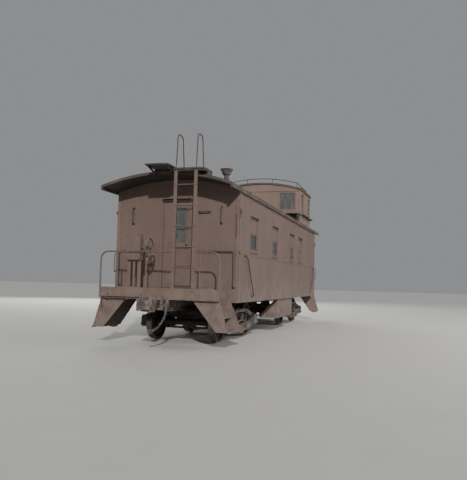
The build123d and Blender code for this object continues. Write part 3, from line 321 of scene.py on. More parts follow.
def patches(tree, where, size, detail=3.0, low=0.4, high=0.6, stretch=(1, 1, 1)):
    """Soft-edged patches of a real size in metres, from 0 outside to 1 inside."""
    spread = add(
        tree,
        "ShaderNodeMapping",
        sockets={"Vector": where, "Scale": [1 / (size * s) for s in stretch]},
    )
    noise = add(
        tree,
        "ShaderNodeTexNoise",
        sockets={"Vector": spread.outputs[0], "Scale": 1.0, "Detail": detail, "Roughness": 0.6},
    )
    return add(
        tree,
        "ShaderNodeMapRange",
        {"interpolation_type": "SMOOTHSTEP"},
        {"Value": noise.outputs["Fac"], "From Min": low, "From Max": high},
    ).outputs[0]


def lay(tree, under, over, most, *masks):
    """Lays one colour over another, at most as strongly as given, where every mask is 1."""
    share = most
    for mask in masks:
        factors = {0: mask, 1: share}
        share = add(tree, "ShaderNodeMath", {"operation": "MULTIPLY"}, factors).outputs[0]
    colours = {0: share, 6: under, 7: over}
    return add(tree, "ShaderNodeMix", {"data_type": "RGBA"}, colours).outputs[2]


def reach(tree, where, axis, start, end):
    """A mask that goes from 0 at one coordinate to 1 at another."""
    parts = add(tree, "ShaderNodeSeparateXYZ", sockets={0: where})
    return add(
        tree,
        "ShaderNodeMapRange",
        {"interpolation_type": "SMOOTHSTEP"},
        {"Value": parts.outputs[axis], "From Min": start, "From Max": end},
    ).outputs[0]


def facing_up(tree, start=0.35, end=0.9):
    """A mask of the surfaces that face up, where dirt settles."""
    normal = add(tree, "ShaderNodeTexCoord").outputs["Normal"]
    return reach(tree, normal, "Z", start, end)


def relief(tree, shader, *layers):
    """Bump from layers of (mask, height in metres)."""
    normal = None
    for mask, height in layers:
        sockets = {"Height": mask, "Strength": 1.0, "Distance": height}
        if normal is not None:
            sockets["Normal"] = normal
        normal = add(tree, "ShaderNodeBump", sockets=sockets).outputs[0]
    tree.links.new(normal, shader.inputs["Normal"])


def gloss(tree, shader, mask, low, high):
    """Roughness from low where the mask is 0 to high where it is 1."""
    found = add(tree, "ShaderNodeMapRange", sockets={"Value": mask, "To Min": low, "To Max": high})
    tree.links.new(found.outputs[0], shader.inputs["Roughness"])


def dress(finish, *names):
    """Gives carried-over solids a finish."""
    for name in names:
        slots = NODES[name].data.materials
        slots.clear()
        slots.append(FINISH[finish])


def piece(name, verts, faces, finish, body="car", smooth=False):
    """A mesh piece that rides on a body, with its finish and that finish's slot."""
    mesh = bpy.data.meshes.new(name)
    mesh.from_pydata(verts, [], faces)
    mesh.materials.append(FINISH[finish])
    if smooth:
        mesh.shade_smooth()
    mesh.validate()
    made = bpy.data.objects.new(name, mesh)
    bpy.context.scene.collection.objects.link(made)
    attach(made, body)
    return made


def rod(name, points, dia, finish, facets, steps):
    """A round rod or hose on the car, along a smooth curve that its points steer."""
    curve = bpy.data.curves.new(name, "CURVE")
    curve.dimensions = "3D"
    curve.bevel_depth = dia / 2
    curve.bevel_resolution = facets
    curve.resolution_u = steps
    spline = curve.splines.new("NURBS")
    spline.points.add(len(points) - 1)
    for spot, point in zip(spline.points, points):
        spot.co = (*point, 1.0)
    spline.order_u = 3
    spline.use_endpoint_u = True
    curve.materials.append(FINISH[finish])
    made = bpy.data.objects.new(name, curve)
    bpy.context.scene.collection.objects.link(made)
    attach(made, "car")
    return made


def turned(verts, faces, centre, axis, profile, sides, closed=False):
    """Adds rings for a profile of (radius, place along the axis) and returns the first vertex."""
    out = Vector(axis).normalized()
    across = out.orthogonal().normalized()
    up = out.cross(across)
    first = len(verts)
    for radius, place in profile:
        for k in range(sides):
            a = 2 * pi * k / sides
            arm = (across * cos(a) + up * sin(a)) * radius
            verts.append(Vector(centre) + arm + out * place)
    rings = len(profile)
    for ring in range(rings if closed else rings - 1):
        a, b = first + ring * sides, first + (ring + 1) % rings * sides
        for k in range(sides):
            after = (k + 1) % sides
            faces.append((a + k, a + after, b + after, b + k))
    return first


# a rivet head and a nut with its bolt end: (share of the diameter, share of the height)
DOME = [(0.5, -0.02), (0.47, 0.45), (0.3, 0.86)]
NUT = [(0.5, -0.05), (0.5, 0.85), (0.42, 1.0), (0.24, 1.0), (0.24, 1.4), (0.2, 1.5)]


def domes(name, spots, dia, high, finish, body="car", sides=8):
    """Round heads at (point, outward normal) spots, joined in one piece."""
    verts, faces = [], []
    profile = [(radius * dia, rise * high) for radius, rise in DOME]
    for point, normal in spots:
        first = turned(verts, faces, point, normal, profile, sides)
        top, tip = first + (len(DOME) - 1) * sides, len(verts)
        verts.append(Vector(point) + Vector(normal).normalized() * high)
        faces += [(top + k, top + (k + 1) % sides, tip) for k in range(sides)]
    piece(name, verts, faces, finish, body, smooth=True)


def rivets(name, spots, finish="body", body="car", dia=1.0, high=1.0):
    """Rivet heads, at shares of the set size."""
    rivet = bpy.context.scene.caboose_fasteners
    dia, high = rivet.rivet_dia * dia, rivet.rivet_high * high
    domes(name, spots, dia, high, finish, body)


def nuts(name, spots, share, high, finish, body="car"):
    """Six-sided nuts with a bolt end, at a share of the set width, joined in one piece."""
    verts, faces = [], []
    dia = bpy.context.scene.caboose_fasteners.nut_dia * share
    profile = [(radius * dia, rise * high) for radius, rise in NUT]
    for point, normal in spots:
        first = turned(verts, faces, point, normal, profile, 6)
        last = first + (len(NUT) - 1) * 6
        faces.append(tuple(range(last, last + 6)))
    piece(name, verts, faces, finish, body)


def bands(name, hoops, finish, body="car", sides=16):
    """Round bands (centre, axis, inner radius, outer radius, width), joined in one piece."""
    verts, faces = [], []
    eased = 0.001
    for centre, axis, inner, outer, wide in hoops:
        edge, brow = 0.5 * wide, 0.42 * wide
        profile = [(inner, -edge), (outer - eased, -edge), (outer, -brow)]
        profile += [(outer, brow), (outer - eased, edge), (inner, edge)]
        turned(verts, faces, centre, axis, profile, sides, closed=True)
    return piece(name, verts, faces, finish, body, smooth=True)


BOX_FACES = [(0, 3, 2, 1), (4, 5, 6, 7), (0, 1, 5, 4), (1, 2, 6, 5), (2, 3, 7, 6), (3, 0, 4, 7)]


def strips(name, boxes, bevel, finish="body", body="car"):
    """Plates and bars between pairs of corners, joined and with eased edges."""
    verts, faces = [], []
    for a, b in boxes:
        lo = [min(p, q) for p, q in zip(a, b)]
        hi = [max(p, q) for p, q in zip(a, b)]
        base = len(verts)
        for z in (lo[2], hi[2]):
            verts += [(lo[0], lo[1], z), (hi[0], lo[1], z), (hi[0], hi[1], z), (lo[0], hi[1], z)]
        faces += [tuple(base + k for k in face) for face in BOX_FACES]
    made = piece(name, verts, faces, finish, body)
    ease = made.modifiers.new("eased_edges", "BEVEL")
    ease.width = bevel
    ease.segments = 2


def row(start, end, pitch, out):
    """Evenly spaced (point, outward normal) spots from start to end."""
    a, b = Vector(start), Vector(end)
    count = max(1, round((b - a).length / pitch))
    return [(a.lerp(b, k / count), out) for k in range(count + 1)]


def twins(point, out):
    """A spot at the -X end and its twin, turned round to the +X end."""
    (x, y, z), (a, b, c) = point, out
    return [((x, y, z), (a, b, c)), ((-x, -y, z), (-a, -b, c))]


def arc_radius(rise, half):
    """Radius of an arc that falls by its rise at its half width."""
    return (half**2 + rise**2) / (2 * rise)


def arc_height(crown, rise, half, y):
    """Height of an arched roof at a distance from the centreline."""
    radius = arc_radius(rise, half)
    return crown - radius + sqrt(radius**2 - y**2)


def shade(colour, amount):
    """A colour made darker (below 1) or lighter (above 1)."""
    return (*[min(1.0, c * amount) for c in colour[:3]], 1.0)


# finishes
def sprayed_enamel(name, base, soot=0.0, mud=0.22, streak=0.22, soot_from=None):
    """Oil enamel sprayed on rolled steel plate."""
    # A dull chalky brown that shows slight waves of the sheet between its rivets, rain runs down
    # it, dust low down and on ledges, and painted shade on the faces that look down.
    paint = bpy.context.scene.caboose_paint
    material, tree, shader, where = start_finish(name, Metallic=0.0, IOR=1.5)
    cloud = patches(tree, where, 0.85, 4, 0.32, 0.68)
    chalk = patches(tree, where, 0.11, 6, 0.36, 0.66)
    # rain runs about 40 mm wide and over a metre long
    runs = patches(tree, where, 0.04, 3, 0.5, 0.64, (1, 1, 30))
    pale_runs = patches(tree, where, 0.07, 3, 0.52, 0.68, (1, 1, 14))
    low = reach(tree, where, "Z", 1.7, 0.9)
    splash = patches(tree, where, 0.22, 6, 0.36, 0.62)
    spots = patches(tree, where, 0.028, 5, 0.62, 0.7)
    rusty = patches(tree, where, 0.6, 3, 0.48, 0.6)
    up = facing_up(tree)
    colour = lay(tree, shade(base, 0.9), shade(base, 1.07), 1.0, cloud)
    colour = lay(tree, colour, shade(base, 1.14), 0.4, chalk)
    colour = lay(tree, colour, shade(base, 0.62), streak, runs)
    colour = lay(tree, colour, shade(base, 1.3), 0.14, pale_runs)
    colour = lay(tree, colour, paint.dust, mud, low, splash)
    colour = lay(tree, colour, paint.rust, 0.6, spots, rusty)
    colour = lay(tree, colour, paint.dust, 0.4, up)
    # painted shade: faces that look down are darkened nearly to black
    normal = add(tree, "ShaderNodeTexCoord").outputs["Normal"]
    colour = lay(tree, colour, shade(base, 0.2), 0.9, reach(tree, normal, "Z", -0.15, -0.5))
    if soot:
        settled = patches(tree, where, 0.5, 6, 0.25, 0.6)
        colour = lay(tree, colour, paint.soot, soot, settled)
        colour = lay(tree, colour, paint.soot, soot, up)
    if soot_from:
        colour = lay(tree, colour, paint.soot, 0.85, reach(tree, where, "Z", *soot_from))
    tree.links.new(colour, shader.inputs["Base Color"])
    gloss(tree, shader, chalk, 0.52, 0.74)
    waves = patches(tree, where, 0.5, 1, 0.2, 0.8)
    # the spray's orange peel, drawn at 9 mm because its real 2 mm is too fine to show
    peel = patches(tree, where, 0.009, 2, 0.2, 0.8)
    relief(tree, shader, (waves, 0.006), (peel, 0.0003), (spots, -0.0006))
    return material


def weathered_iron(name, base, rust, grit, dust=0.5, rough=(0.6, 0.85)):
    """Cast or forged iron that has stood outdoors."""
    # A dark skin with rust blooms, road dust on what faces up, and the grit of its casting.
    paint = bpy.context.scene.caboose_paint
    material, tree, shader, where = start_finish(name, Metallic=0.0, IOR=1.5)
    cloud = patches(tree, where, 0.3, 5, 0.35, 0.65)
    bloom = patches(tree, where, 0.06, 6, 0.46, 0.66)
    sand = patches(tree, where, grit, 3, 0.3, 0.7)
    splash = patches(tree, where, 0.16, 6, 0.4, 0.66)
    up = facing_up(tree, 0.2, 0.8)
    colour = lay(tree, shade(base, 0.75), shade(base, 1.25), 1.0, cloud)
    colour = lay(tree, colour, rust, 0.6, bloom)
    colour = lay(tree, colour, shade(base, 1.6), 0.25, sand)
    colour = lay(tree, colour, paint.dust, dust, splash)
    colour = lay(tree, colour, paint.dust, dust * 0.8, up)
    tree.links.new(colour, shader.inputs["Base Color"])
    gloss(tree, shader, cloud, *rough)
    relief(tree, shader, (cloud, 0.002), (sand, grit * 0.12), (bloom, 0.0006))
    return material


def rolled_wheel_steel():
    """Wrought wheel steel, rolled and turned, with a tread that the rails polish."""
    # Dull brown discs with dirt thrown over them, and a clean bright ring where they run.
    paint = bpy.context.scene.caboose_paint
    material, tree, shader, where = start_finish("rolled_wheel_steel", IOR=1.5)
    cloud = patches(tree, where, 0.2, 5, 0.35, 0.65)
    bloom = patches(tree, where, 0.05, 6, 0.45, 0.65)
    parts = add(tree, "ShaderNodeSeparateXYZ", sockets={0: where})
    # every axle stands half a wheelbase from a truck's centre, so two folds of X centre them all
    along = parts.outputs["X"]
    for away in (TRUCK_X, HALF_BASE):
        along = add(tree, "ShaderNodeMath", {"operation": "ABSOLUTE"}, {0: along}).outputs[0]
        step = {0: along, 1: away}
        along = add(tree, "ShaderNodeMath", {"operation": "SUBTRACT"}, step).outputs[0]
    rise = {0: parts.outputs["Z"], 1: AXLE_Z}
    rise = add(tree, "ShaderNodeMath", {"operation": "SUBTRACT"}, rise).outputs[0]
    arm = add(tree, "ShaderNodeCombineXYZ", sockets={"X": along, "Y": rise}).outputs[0]
    radius = add(tree, "ShaderNodeVectorMath", {"operation": "LENGTH"}, {0: arm}).outputs["Value"]
    span = {"Value": radius, "From Min": TREAD_FROM, "From Max": TREAD_TO}
    tread = add(tree, "ShaderNodeMapRange", sockets=span).outputs[0]
    base = linear("#231f1c")
    colour = lay(tree, shade(base, 0.8), shade(base, 1.3), 1.0, cloud)
    colour = lay(tree, colour, paint.rust, 0.6, bloom)
    colour = lay(tree, colour, linear("#77716b"), 0.9, tread)
    tree.links.new(colour, shader.inputs["Base Color"])
    tree.links.new(tread, shader.inputs["Metallic"])
    gloss(tree, shader, tread, 0.75, 0.32)
    relief(tree, shader, (cloud, 0.0015), (bloom, 0.0005))
    return material


def sawn_planks(name, base, board, dust=0.4):
    """Sawn oak boards, left bare and trodden."""
    # Grey boards that differ a little from each other, with open grain along the car and dirt
    # in the joints.
    paint = bpy.context.scene.caboose_paint
    material, tree, shader, where = start_finish(name, Metallic=0.0, IOR=1.45)
    # one tone to a board: patches as wide as a board and very long
    tone = patches(tree, where, board, 0, 0.3, 0.7, (60, 1, 60))
    # grain lines drawn 9 mm apart, because oak's real 2 to 3 mm is too fine to show
    grain = patches(tree, where, 0.009, 4, 0.42, 0.62, (45, 1, 1))
    wear = patches(tree, where, 0.3, 5, 0.4, 0.65)
    knots = patches(tree, where, 0.07, 2, 0.66, 0.72, (3, 1, 1))
    colour = lay(tree, shade(base, 0.8), shade(base, 1.25), 1.0, tone)
    colour = lay(tree, colour, shade(base, 0.5), 0.7, grain)
    colour = lay(tree, colour, shade(base, 0.35), 0.7, knots)
    colour = lay(tree, colour, paint.dust, dust, wear)
    tree.links.new(colour, shader.inputs["Base Color"])
    gloss(tree, shader, wear, 0.7, 0.9)
    relief(tree, shader, (grain, 0.0012), (knots, 0.0008))
    return material


def drawn_glass():
    """Drawn window glass with a film of dust."""
    # Dark from outside with soft reflections, slightly wavy, and greyer and less clear where it
    # faces the ends of the car.
    material, tree, shader, where = start_finish("drawn_window_glass", Metallic=0.0, IOR=1.5)
    film = patches(tree, where, 0.16, 5, 0.35, 0.7)
    colour = lay(tree, linear("#b3b4b2"), linear("#8b8a87"), 0.8, film)
    tree.links.new(colour, shader.inputs["Base Color"])
    normal = add(tree, "ShaderNodeTexCoord").outputs["Normal"]
    ahead = add(tree, "ShaderNodeSeparateXYZ", sockets={0: normal}).outputs["X"]
    ahead = add(tree, "ShaderNodeMath", {"operation": "ABSOLUTE"}, {0: ahead}).outputs[0]
    clear = {"Value": ahead, "To Min": 0.98, "To Max": 0.81}
    clear = add(tree, "ShaderNodeMapRange", sockets=clear).outputs[0]
    tree.links.new(clear, shader.inputs["Transmission Weight"])
    gloss(tree, shader, film, 0.04, 0.22)
    draw = patches(tree, where, 0.12, 1, 0.2, 0.8, (1, 1, 3))
    relief(tree, shader, (draw, 0.0006))
    return material


def moulded_rubber(name, tone=1.0, dust=0.3):
    """Rubber moulded on a cloth wrap, as in brake hoses, and a near-black copy that paints shade."""
    # Matt near-black with the faint cross marks of its cloth and pale dust.
    paint = bpy.context.scene.caboose_paint
    material, tree, shader, where = start_finish(name, Metallic=0.0, IOR=1.52)
    film = patches(tree, where, 0.05, 6, 0.42, 0.66)
    wrap = patches(tree, where, 0.012, 2, 0.35, 0.65, (1, 1, 0.4))
    colour = lay(
        tree, shade(linear("#282523"), tone), shade(linear("#35312e"), tone), 1.0, wrap
    )
    colour = lay(tree, colour, paint.dust, dust, film)
    tree.links.new(colour, shader.inputs["Base Color"])
    gloss(tree, shader, film, 0.62, 0.85)
    relief(tree, shader, (wrap, 0.0008))
    return material


FINISH = {}
# finishes that all solids of a record's slot take
SLOTS = {
    "body": "oxide_paint",
    "roof": "roof_paint",
    "sash": "sash_paint",
    "rail": "handhold_iron",
    "under": "underbody",
    "truck": "truck_iron",
    "spring": "spring_steel",
    "coupler": "coupler_steel",
    "cast": "cast_wheel",
    "soot": "sooted_iron",
    "wheel": "wheel_steel",
    "deck": "deck_planks",
    "walk": "walk_planks",
    "floor": "floor_boards",
    "glass": "window_glass",
    "rubber": "hose_rubber",
}
# and finishes that only some pieces of a slot take
# irons: (name, skin, bloom or None for the set rust, size of the grit, dust, roughness)
IRONS = {
    # red lead under a thin dark coat
    "rail": ("forged_handhold_iron", "#574a44", "#4a3c36", 0.012, 0.12, (0.5, 0.7)),
    # near-black rods: dark iron, made darker still as painted shade for the shadow beside them
    "grab": ("dark_and_shaded_grab_iron", "#332d2a", "#3f332d", 0.012, 0.05, (0.45, 0.65)),
    # a dull black coat that drinks the light under the floor
    "under": ("brushed_bitumen_steel", "#2d2927", None, 0.02, 0.3, (0.6, 0.85)),
    # the rough brown skin of its mould, dusty on top
    "truck": ("sand_cast_truck_steel", "#3d3632", None, 0.01, 0.45, (0.6, 0.85)),
    # smoother and blacker leaves from their oil bath
    "spring": ("oil_tempered_spring_steel", "#3a3431", None, 0.015, 0.35, (0.6, 0.85)),
    # unpainted, browned by rust and pale with road dust
    "coupler": ("cast_coupler_steel", "#463c37", "#5a4438", 0.012, 0.55, (0.6, 0.85)),
    # the grey of worn castings such as hand wheels and clamps
    "cast": ("grey_cast_iron", "#4a413c", None, 0.01, 0.3, (0.6, 0.85)),
    # sheet that stove smoke has blackened
    "soot": ("sooted_sheet_iron", "#38322f", "#463a34", 0.02, 0.2, (0.6, 0.85)),
}


class CABOOSE_OT_finishes(bpy.types.Operator):
    """Makes the finishes and gives them to the carried-over solids."""

    bl_idname = "caboose.finishes"
    bl_label = "Finishes"

    def execute(self, context):
        paint = context.scene.caboose_paint
        body = tuple(paint.body)
        FINISH["body"] = sprayed_enamel("sprayed_oxide_enamel", body)
        FINISH["roof"] = sprayed_enamel(
            "sooted_roof_enamel", tuple(paint.roof), soot=0.7, mud=0.0, streak=0.35
        )
        FINISH["sash"] = sprayed_enamel(
            "brushed_sash_enamel", shade(body, 0.95), mud=0.2, streak=0.3
        )
        # the smoke blackens what stands above the roof
        smoke = (ROOF_CROWN - 0.05, ROOF_CROWN + 0.2)
        FINISH["ladder"] = sprayed_enamel(
            "smoked_ladder_enamel", body, mud=0.3, streak=0.2, soot_from=smoke
        )
        # the cupola is out of the road's dirt, and its paint is a lighter copy of the body's: painted
        # light
        FINISH["cupola"] = sprayed_enamel("painted_light_cupola_enamel", shade(body, 1.38), mud=0.0)
        # a paler copy of the body paint for the corner strips: a painted highlight along the corners
        FINISH["edge"] = sprayed_enamel("painted_highlight_corner_enamel", shade(body, 1.2))
        for finish, (name, skin, bloom, grit, dust, rough) in IRONS.items():
            bloom = linear(bloom) if bloom else tuple(paint.rust)
            FINISH[finish] = weathered_iron(name, linear(skin), bloom, grit, dust, rough)
        FINISH["wheel"] = rolled_wheel_steel()
        FINISH["deck"] = sawn_planks("sawn_deck_planks", linear("#6a625a"), board=0.15)
        # the walk boards are made near black: painted shade for their ends seen from below
        FINISH["walk"] = sawn_planks("painted_shade_walk_boards", linear("#322e2b"), board=0.17, dust=0.25)
        FINISH["floor"] = sawn_planks("worn_floor_boards", linear("#51473f"), board=0.13)
        FINISH["glass"] = drawn_glass()
        FINISH["rubber"] = moulded_rubber("moulded_hose_rubber")
        # a near-black copy, used as painted shade over the end doors
        FINISH["strip"] = moulded_rubber("painted_shade_strip_rubber", tone=0.3, dust=0.04)
        for finish, slot in SLOTS.items():
            nodes = [p["node"] for p in frame["record"]["subparts"] if p["material_slot"] == slot]
            if not nodes:
                raise ValueError("no solids take the slot " + slot)
            dress(finish, *nodes)
        dress("ladder", "ladders")
        dress("grab", "grab_irons", "cupola_rail")
        dress("cupola", "cupola_walls")
        return {"FINISHED"}


# camera, hoses and stage
class CABOOSE_OT_camera(bpy.types.Operator):
    """Stands the camera at the reference view."""

    bl_idname = "caboose.camera"
    bl_label = "Camera"

    def execute(self, context):
        view = context.scene.caboose_camera
        ahead = Vector((cos(view.pitch) * cos(view.yaw), cos(view.pitch) * sin(view.yaw), 0))
        ahead.z = sin(view.pitch)
        level = Vector((sin(view.yaw), -cos(view.yaw), 0))
        above = level.cross(ahead)
        right = level * cos(view.roll) + above * sin(view.roll)
        up = above * cos(view.roll) - level * sin(view.roll)
        data = bpy.data.cameras.new("reference_camera")
        data.lens = view.lens
        data.sensor_width = 36.0
        data.clip_start = 0.1
        data.clip_end = 500.0
        camera = bpy.data.objects.new("reference_camera", data)
        turn = Matrix((right, up, -ahead)).transposed().to_4x4()
        camera.matrix_world = Matrix.Translation(Vector(view.place)) @ turn
        context.scene.collection.objects.link(camera)
        context.scene.camera = camera
        return {"FINISHED"}


HOSE_DIA = 0.046
COCK_Y, COCK_Z = -0.255, 0.88
# the hose's route: (out from the sill, across from the cock, below the cock)
HOSE_ROUTE = [
    (0.095, 0.0, 0.08),
    (0.1, 0.002, 0.165),
    (0.148, 0.02, 0.262),
    (0.215, 0.048, 0.352),
    (0.295, 0.08, 0.432),
    (0.412, 0.114, 0.475),
]


class CABOOSE_OT_hoses(bpy.types.Operator):
    """Hangs a brake hose at each end, with its clamps."""

    bl_idname = "caboose.hoses"
    bl_label = "Brake hoses"

    def execute(self, context):
        clamp_in, clamp_wide = 0.022, 0.016
        inner, outer = HOSE_DIA / 2 - 0.001, HOSE_DIA / 2 + 0.004
        for name, turn in (("a", 1), ("b", -1)):
            points = [
                Vector((turn * (-SILL_FACE - x), turn * (COCK_Y + y), COCK_Z - z))
                for x, y, z in HOSE_ROUTE
            ]
            hose = rod("brake_hose_" + name, points, HOSE_DIA, "rubber", facets=6, steps=16)
            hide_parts("air_hose_" + name)
            first = (points[1] - points[0]).normalized()
            last = (points[-1] - points[-2]).normalized()
            hoops = [
                (points[0] + first * clamp_in, first, inner, outer, clamp_wide),
                (points[-1] - last * clamp_in, last, inner, outer, clamp_wide),
            ]
            clamps = bands("hose_clamps_" + name, hoops, "cast", sides=24)
        return {"FINISHED"}


class CABOOSE_OT_stage(bpy.types.Operator):
    """Lays the plain floor, the plain surround and the soft lamps."""

    bl_idname = "caboose.stage"
    bl_label = "Stage"

    def execute(self, context):
        stage = context.scene.caboose_stage
        half = 120.0
        mesh = bpy.data.meshes.new("floor")
        corners = [(-half, -half, 0), (half, -half, 0), (half, half, 0), (-half, half, 0)]
        mesh.from_pydata(corners, [], [(0, 1, 2, 3)])
        # matt sweep paper: even and pale, with no gloss of its own
        material, tree, shader, where = start_finish("matt_sweep_paper", Roughness=0.95)
        fibre = patches(tree, where, 0.6, 4, 0.3, 0.7)
        colour = lay(tree, tuple(stage.floor), shade(stage.floor, 0.96), 1.0, fibre)
        tree.links.new(colour, shader.inputs["Base Color"])
        mesh.materials.append(material)
        floor = bpy.data.objects.new("floor", mesh)
        context.scene.collection.objects.link(floor)
        world = bpy.data.worlds.new("plain_surround")
        world.use_nodes = True
        back = world.node_tree.nodes["Background"]
        back.inputs["Color"].default_value = stage.sky
        back.inputs["Strength"].default_value = stage.sky_power
        context.scene.world = world
        # lamps: (name, kind, power, breadth and height, place, aim)
        lamps = [
            ("fill_lamp", "AREA", stage.fill_power, (18.0, 8.0), (19.0, 13.0, 9.0), (1.0, 0.0, 1.6)),
            ("key_lamp", "SUN", stage.key_strength, None, (-27.0, -9.9, 12.1), (-3.0, 0.0, 1.8)),
            ("side_lamp", "AREA", stage.side_power, (16.0, 5.0), (-2.0, -16.0, 6.5), (1.0, 0.0, 1.6)),
        ]
        for name, kind, power, sizes, place, aim in lamps:
            data = bpy.data.lights.new(name, kind)
            data.energy = power
            if sizes:
                data.shape = "RECTANGLE"
                data.size, data.size_y = sizes
            else:
                data.angle = radians(2.2)
            lamp = bpy.data.objects.new(name, data)
            look = (Vector(aim) - Vector(place)).to_track_quat("-Z", "Y")
            lamp.matrix_world = Matrix.Translation(place) @ look.to_matrix().to_4x4()
            context.scene.collection.objects.link(lamp)
        return {"FINISHED"}


# rivets and roof seams
class CABOOSE_OT_side_rivets(bpy.types.Operator):
    """Sets the rivet rows of both sides."""

    bl_idname = "caboose.side_rivets"
    bl_label = "Side rivets"

    def execute(self, context):
        pitch = context.scene.caboose_fasteners.rivet_pitch
        long = BODY_HALF - 0.045
        belt_proud, lap_proud = 0.006, 0.004
        lap_half, lap_top = 0.024, EAVE_ROW - 0.04
        laps = [x - WINDOW_HALF - 0.045 for x in WINDOW_X if x != BLANKED_X] + [-long, long]
        beside = WINDOW_HALF + 0.06
        spots = []
        for side in SIDES:
            face, out = side * SIDE_HALF, (0, side, 0)
            # long rows: (height, how far the sheet stands out there)
            for z, proud in ((BELT_Z - 0.025, belt_proud), (SIDE_LOW + 0.03, 0.0), (EAVE_ROW, 0.0)):
                at = face + side * proud
                spots += row((-long, at, z), (long, at, z), pitch, out)
            at = face + side * lap_proud
            for x in laps:
                for dx in (-lap_half, lap_half):
                    # a corner's lap has its inner row only
                    if abs(x) == long and dx * x > 0:
                        continue
                    spots += row((x + dx, at, BELT_Z + 0.04), (x + dx, at, lap_top), pitch, out)
                spots += row((x, face, SIDE_LOW + 0.09), (x, face, BELT_Z - 0.09), pitch, out)
            for x in WINDOW_X:
                for dx in (-beside, beside):
                    # an open window has a lap on that side
                    if x != BLANKED_X and dx < 0:
                        continue
                    low, high = (x + dx, face, WINDOW_LOW), (x + dx, face, WINDOW_HIGH)
                    spots += row(low, high, pitch * 1.4, out)
        rivets("side_rivets", spots)
        return {"FINISHED"}


class CABOOSE_OT_end_rivets(bpy.types.Operator):
    """Sets the rivets of the end walls and end sills."""

    bl_idname = "caboose.end_rivets"
    bl_label = "End rivets"

    def execute(self, context):
        pitch = context.scene.caboose_fasteners.rivet_pitch
        foot, wall_top = DECK_TOP + 0.06, EAVE_ROW + 0.01
        coupler_half, sill_in = 0.22, 0.04
        spots = []
        for end in ENDS:
            x, out = end * BODY_HALF, (end, 0, 0)
            for side in SIDES:
                y = side * (SIDE_HALF - 0.09)
                spots += row((x, y, foot), (x, y, wall_top), pitch, out)
                y = side * (DOOR_HALF + 0.075)
                spots += row((x, y, foot), (x, y, DOOR_HEAD + 0.1), pitch, out)
                a, b = side * (SIDE_HALF - 0.14), side * (DOOR_HALF + 0.12)
                spots += row((x, a, DECK_TOP + 0.04), (x, b, DECK_TOP + 0.04), pitch, out)
            x, far = end * SILL_FACE, SILL_HALF - sill_in
            for z in (DECK_TOP - 0.035, DECK_TOP - 0.195):
                for y0, y1 in ((-far, -coupler_half), (coupler_half, far)):
                    spots += row((x, y0, z), (x, y1, z), pitch * 2, out)
        rivets("end_rivets", spots)
        return {"FINISHED"}


class CABOOSE_OT_cupola_rivets(bpy.types.Operator):
    """Sets the rivets of the cupola walls."""

    bl_idname = "caboose.cupola_rivets"
    bl_label = "Cupola rivets"

    def execute(self, context):
        pitch = context.scene.caboose_fasteners.rivet_pitch
        foot, shoulder = 3.5, CUPOLA_CROWN - CUPOLA_RISE - 0.1
        middle = (CUPOLA_FROM + CUPOLA_TO) / 2
        corner_y, pane_y = SIDE_HALF - 0.04, 0.66
        spots = []
        for side in SIDES:
            y = side * SIDE_HALF
            for x in (CUPOLA_FROM + 0.03, CUPOLA_TO - 0.03, middle):
                spots += row((x, y, foot), (x, y, shoulder), pitch, (0, side, 0))
        for x, out in ((CUPOLA_FROM, -1), (CUPOLA_TO, 1)):
            for y in (-corner_y, -pane_y, pane_y, corner_y):
                base = arc_height(ROOF_CROWN, ROOF_RISE, ROOF_HALF, y) + 0.1
                spots += row((x, y, base), (x, y, shoulder), pitch, (out, 0, 0))
        rivets("cupola_rivets", spots, "cupola", dia=0.85)
        return {"FINISHED"}


class CABOOSE_OT_roof_seams(bpy.types.Operator):
    """Lays the lap strips across both roofs, with their rivets."""

    bl_idname = "caboose.roof_seams"
    bl_label = "Roof seams"

    def execute(self, context):
        trim = context.scene.caboose_trim
        verts, faces, spots = [], [], []
        # laps: (x, crown, rise, half width)
        laps = []
        for x in (-5.77, -4.7, -3.6, -2.5, -1.4, -0.3, 0.8, 1.72, 4.22, 5.0, 5.77):
            laps.append((x, ROOF_CROWN, ROOF_RISE, ROOF_HALF))
        for x in (CUPOLA_FROM + 0.02, (CUPOLA_FROM + CUPOLA_TO) / 2, CUPOLA_TO - 0.02):
            laps.append((x, CUPOLA_CROWN, CUPOLA_RISE, CUPOLA_EDGE))
        count, pitch = 28, 0.12
        edge, sunk, eased = 0.012, 0.003, 0.002
        wide = trim.seam_wide / 2
        # a strip's section: (along the car, above the roof)
        section = [
            (-wide, -sunk),
            (-wide + eased, trim.seam_proud),
            (wide - eased, trim.seam_proud),
            (wide, -sunk),
        ]
        for x, crown, rise, half in laps:
            far = half - edge
            base = len(verts)
            for k in range(count + 1):
                y = -far + 2 * far * k / count
                z = arc_height(crown, rise, half, y)
                verts += [(x + dx, y, z + dz) for dx, dz in section]
                if k:
                    a = base + (k - 1) * 4
                    faces += [(a + j, a + j + 1, a + j + 5, a + j + 4) for j in range(3)]
                    faces.append((a + 3, a, a + 4, a + 7))
            faces.append((base + 3, base + 2, base + 1, base))
            last = base + count * 4
            faces.append((last, last + 1, last + 2, last + 3))
            steps = round(2 * far / pitch)
            for k in range(1, steps):
                y = -far + 2 * far * k / steps
                z = arc_height(crown, rise, half, y) + trim.seam_proud
                spots.append(((x, y, z), (0, y, arc_radius(rise, half))))
        piece("roof_lap_strips", verts, faces, "roof")
        rivets("roof_rivets", spots, "roof", dia=0.85, high=0.8)
        return {"FINISHED"}


# windows and doors
def surround(x, face, z, wide, proud, side):
    """Four mouldings round an opening in a wall that faces +-Y."""
    y0, y1 = side * (face - 0.004), side * (face + proud)
    return [
        ((x[0] - wide, y0, z[0] - wide), (x[0], y1, z[1] + wide)),
        ((x[1], y0, z[0] - wide), (x[1] + wide, y1, z[1] + wide)),
        ((x[0], y0, z[0] - wide), (x[1], y1, z[0])),
        ((x[0], y0, z[1]), (x[1], y1, z[1] + wide)),
    ]


def surround_end(face, out, y, z, wide, proud):
    """Four mouldings round an opening in a wall that faces +-X."""
    swapped = surround(y, out * face, z, wide, proud, out)
    return [tuple((p[1], p[0], p[2]) for p in pair) for pair in swapped]


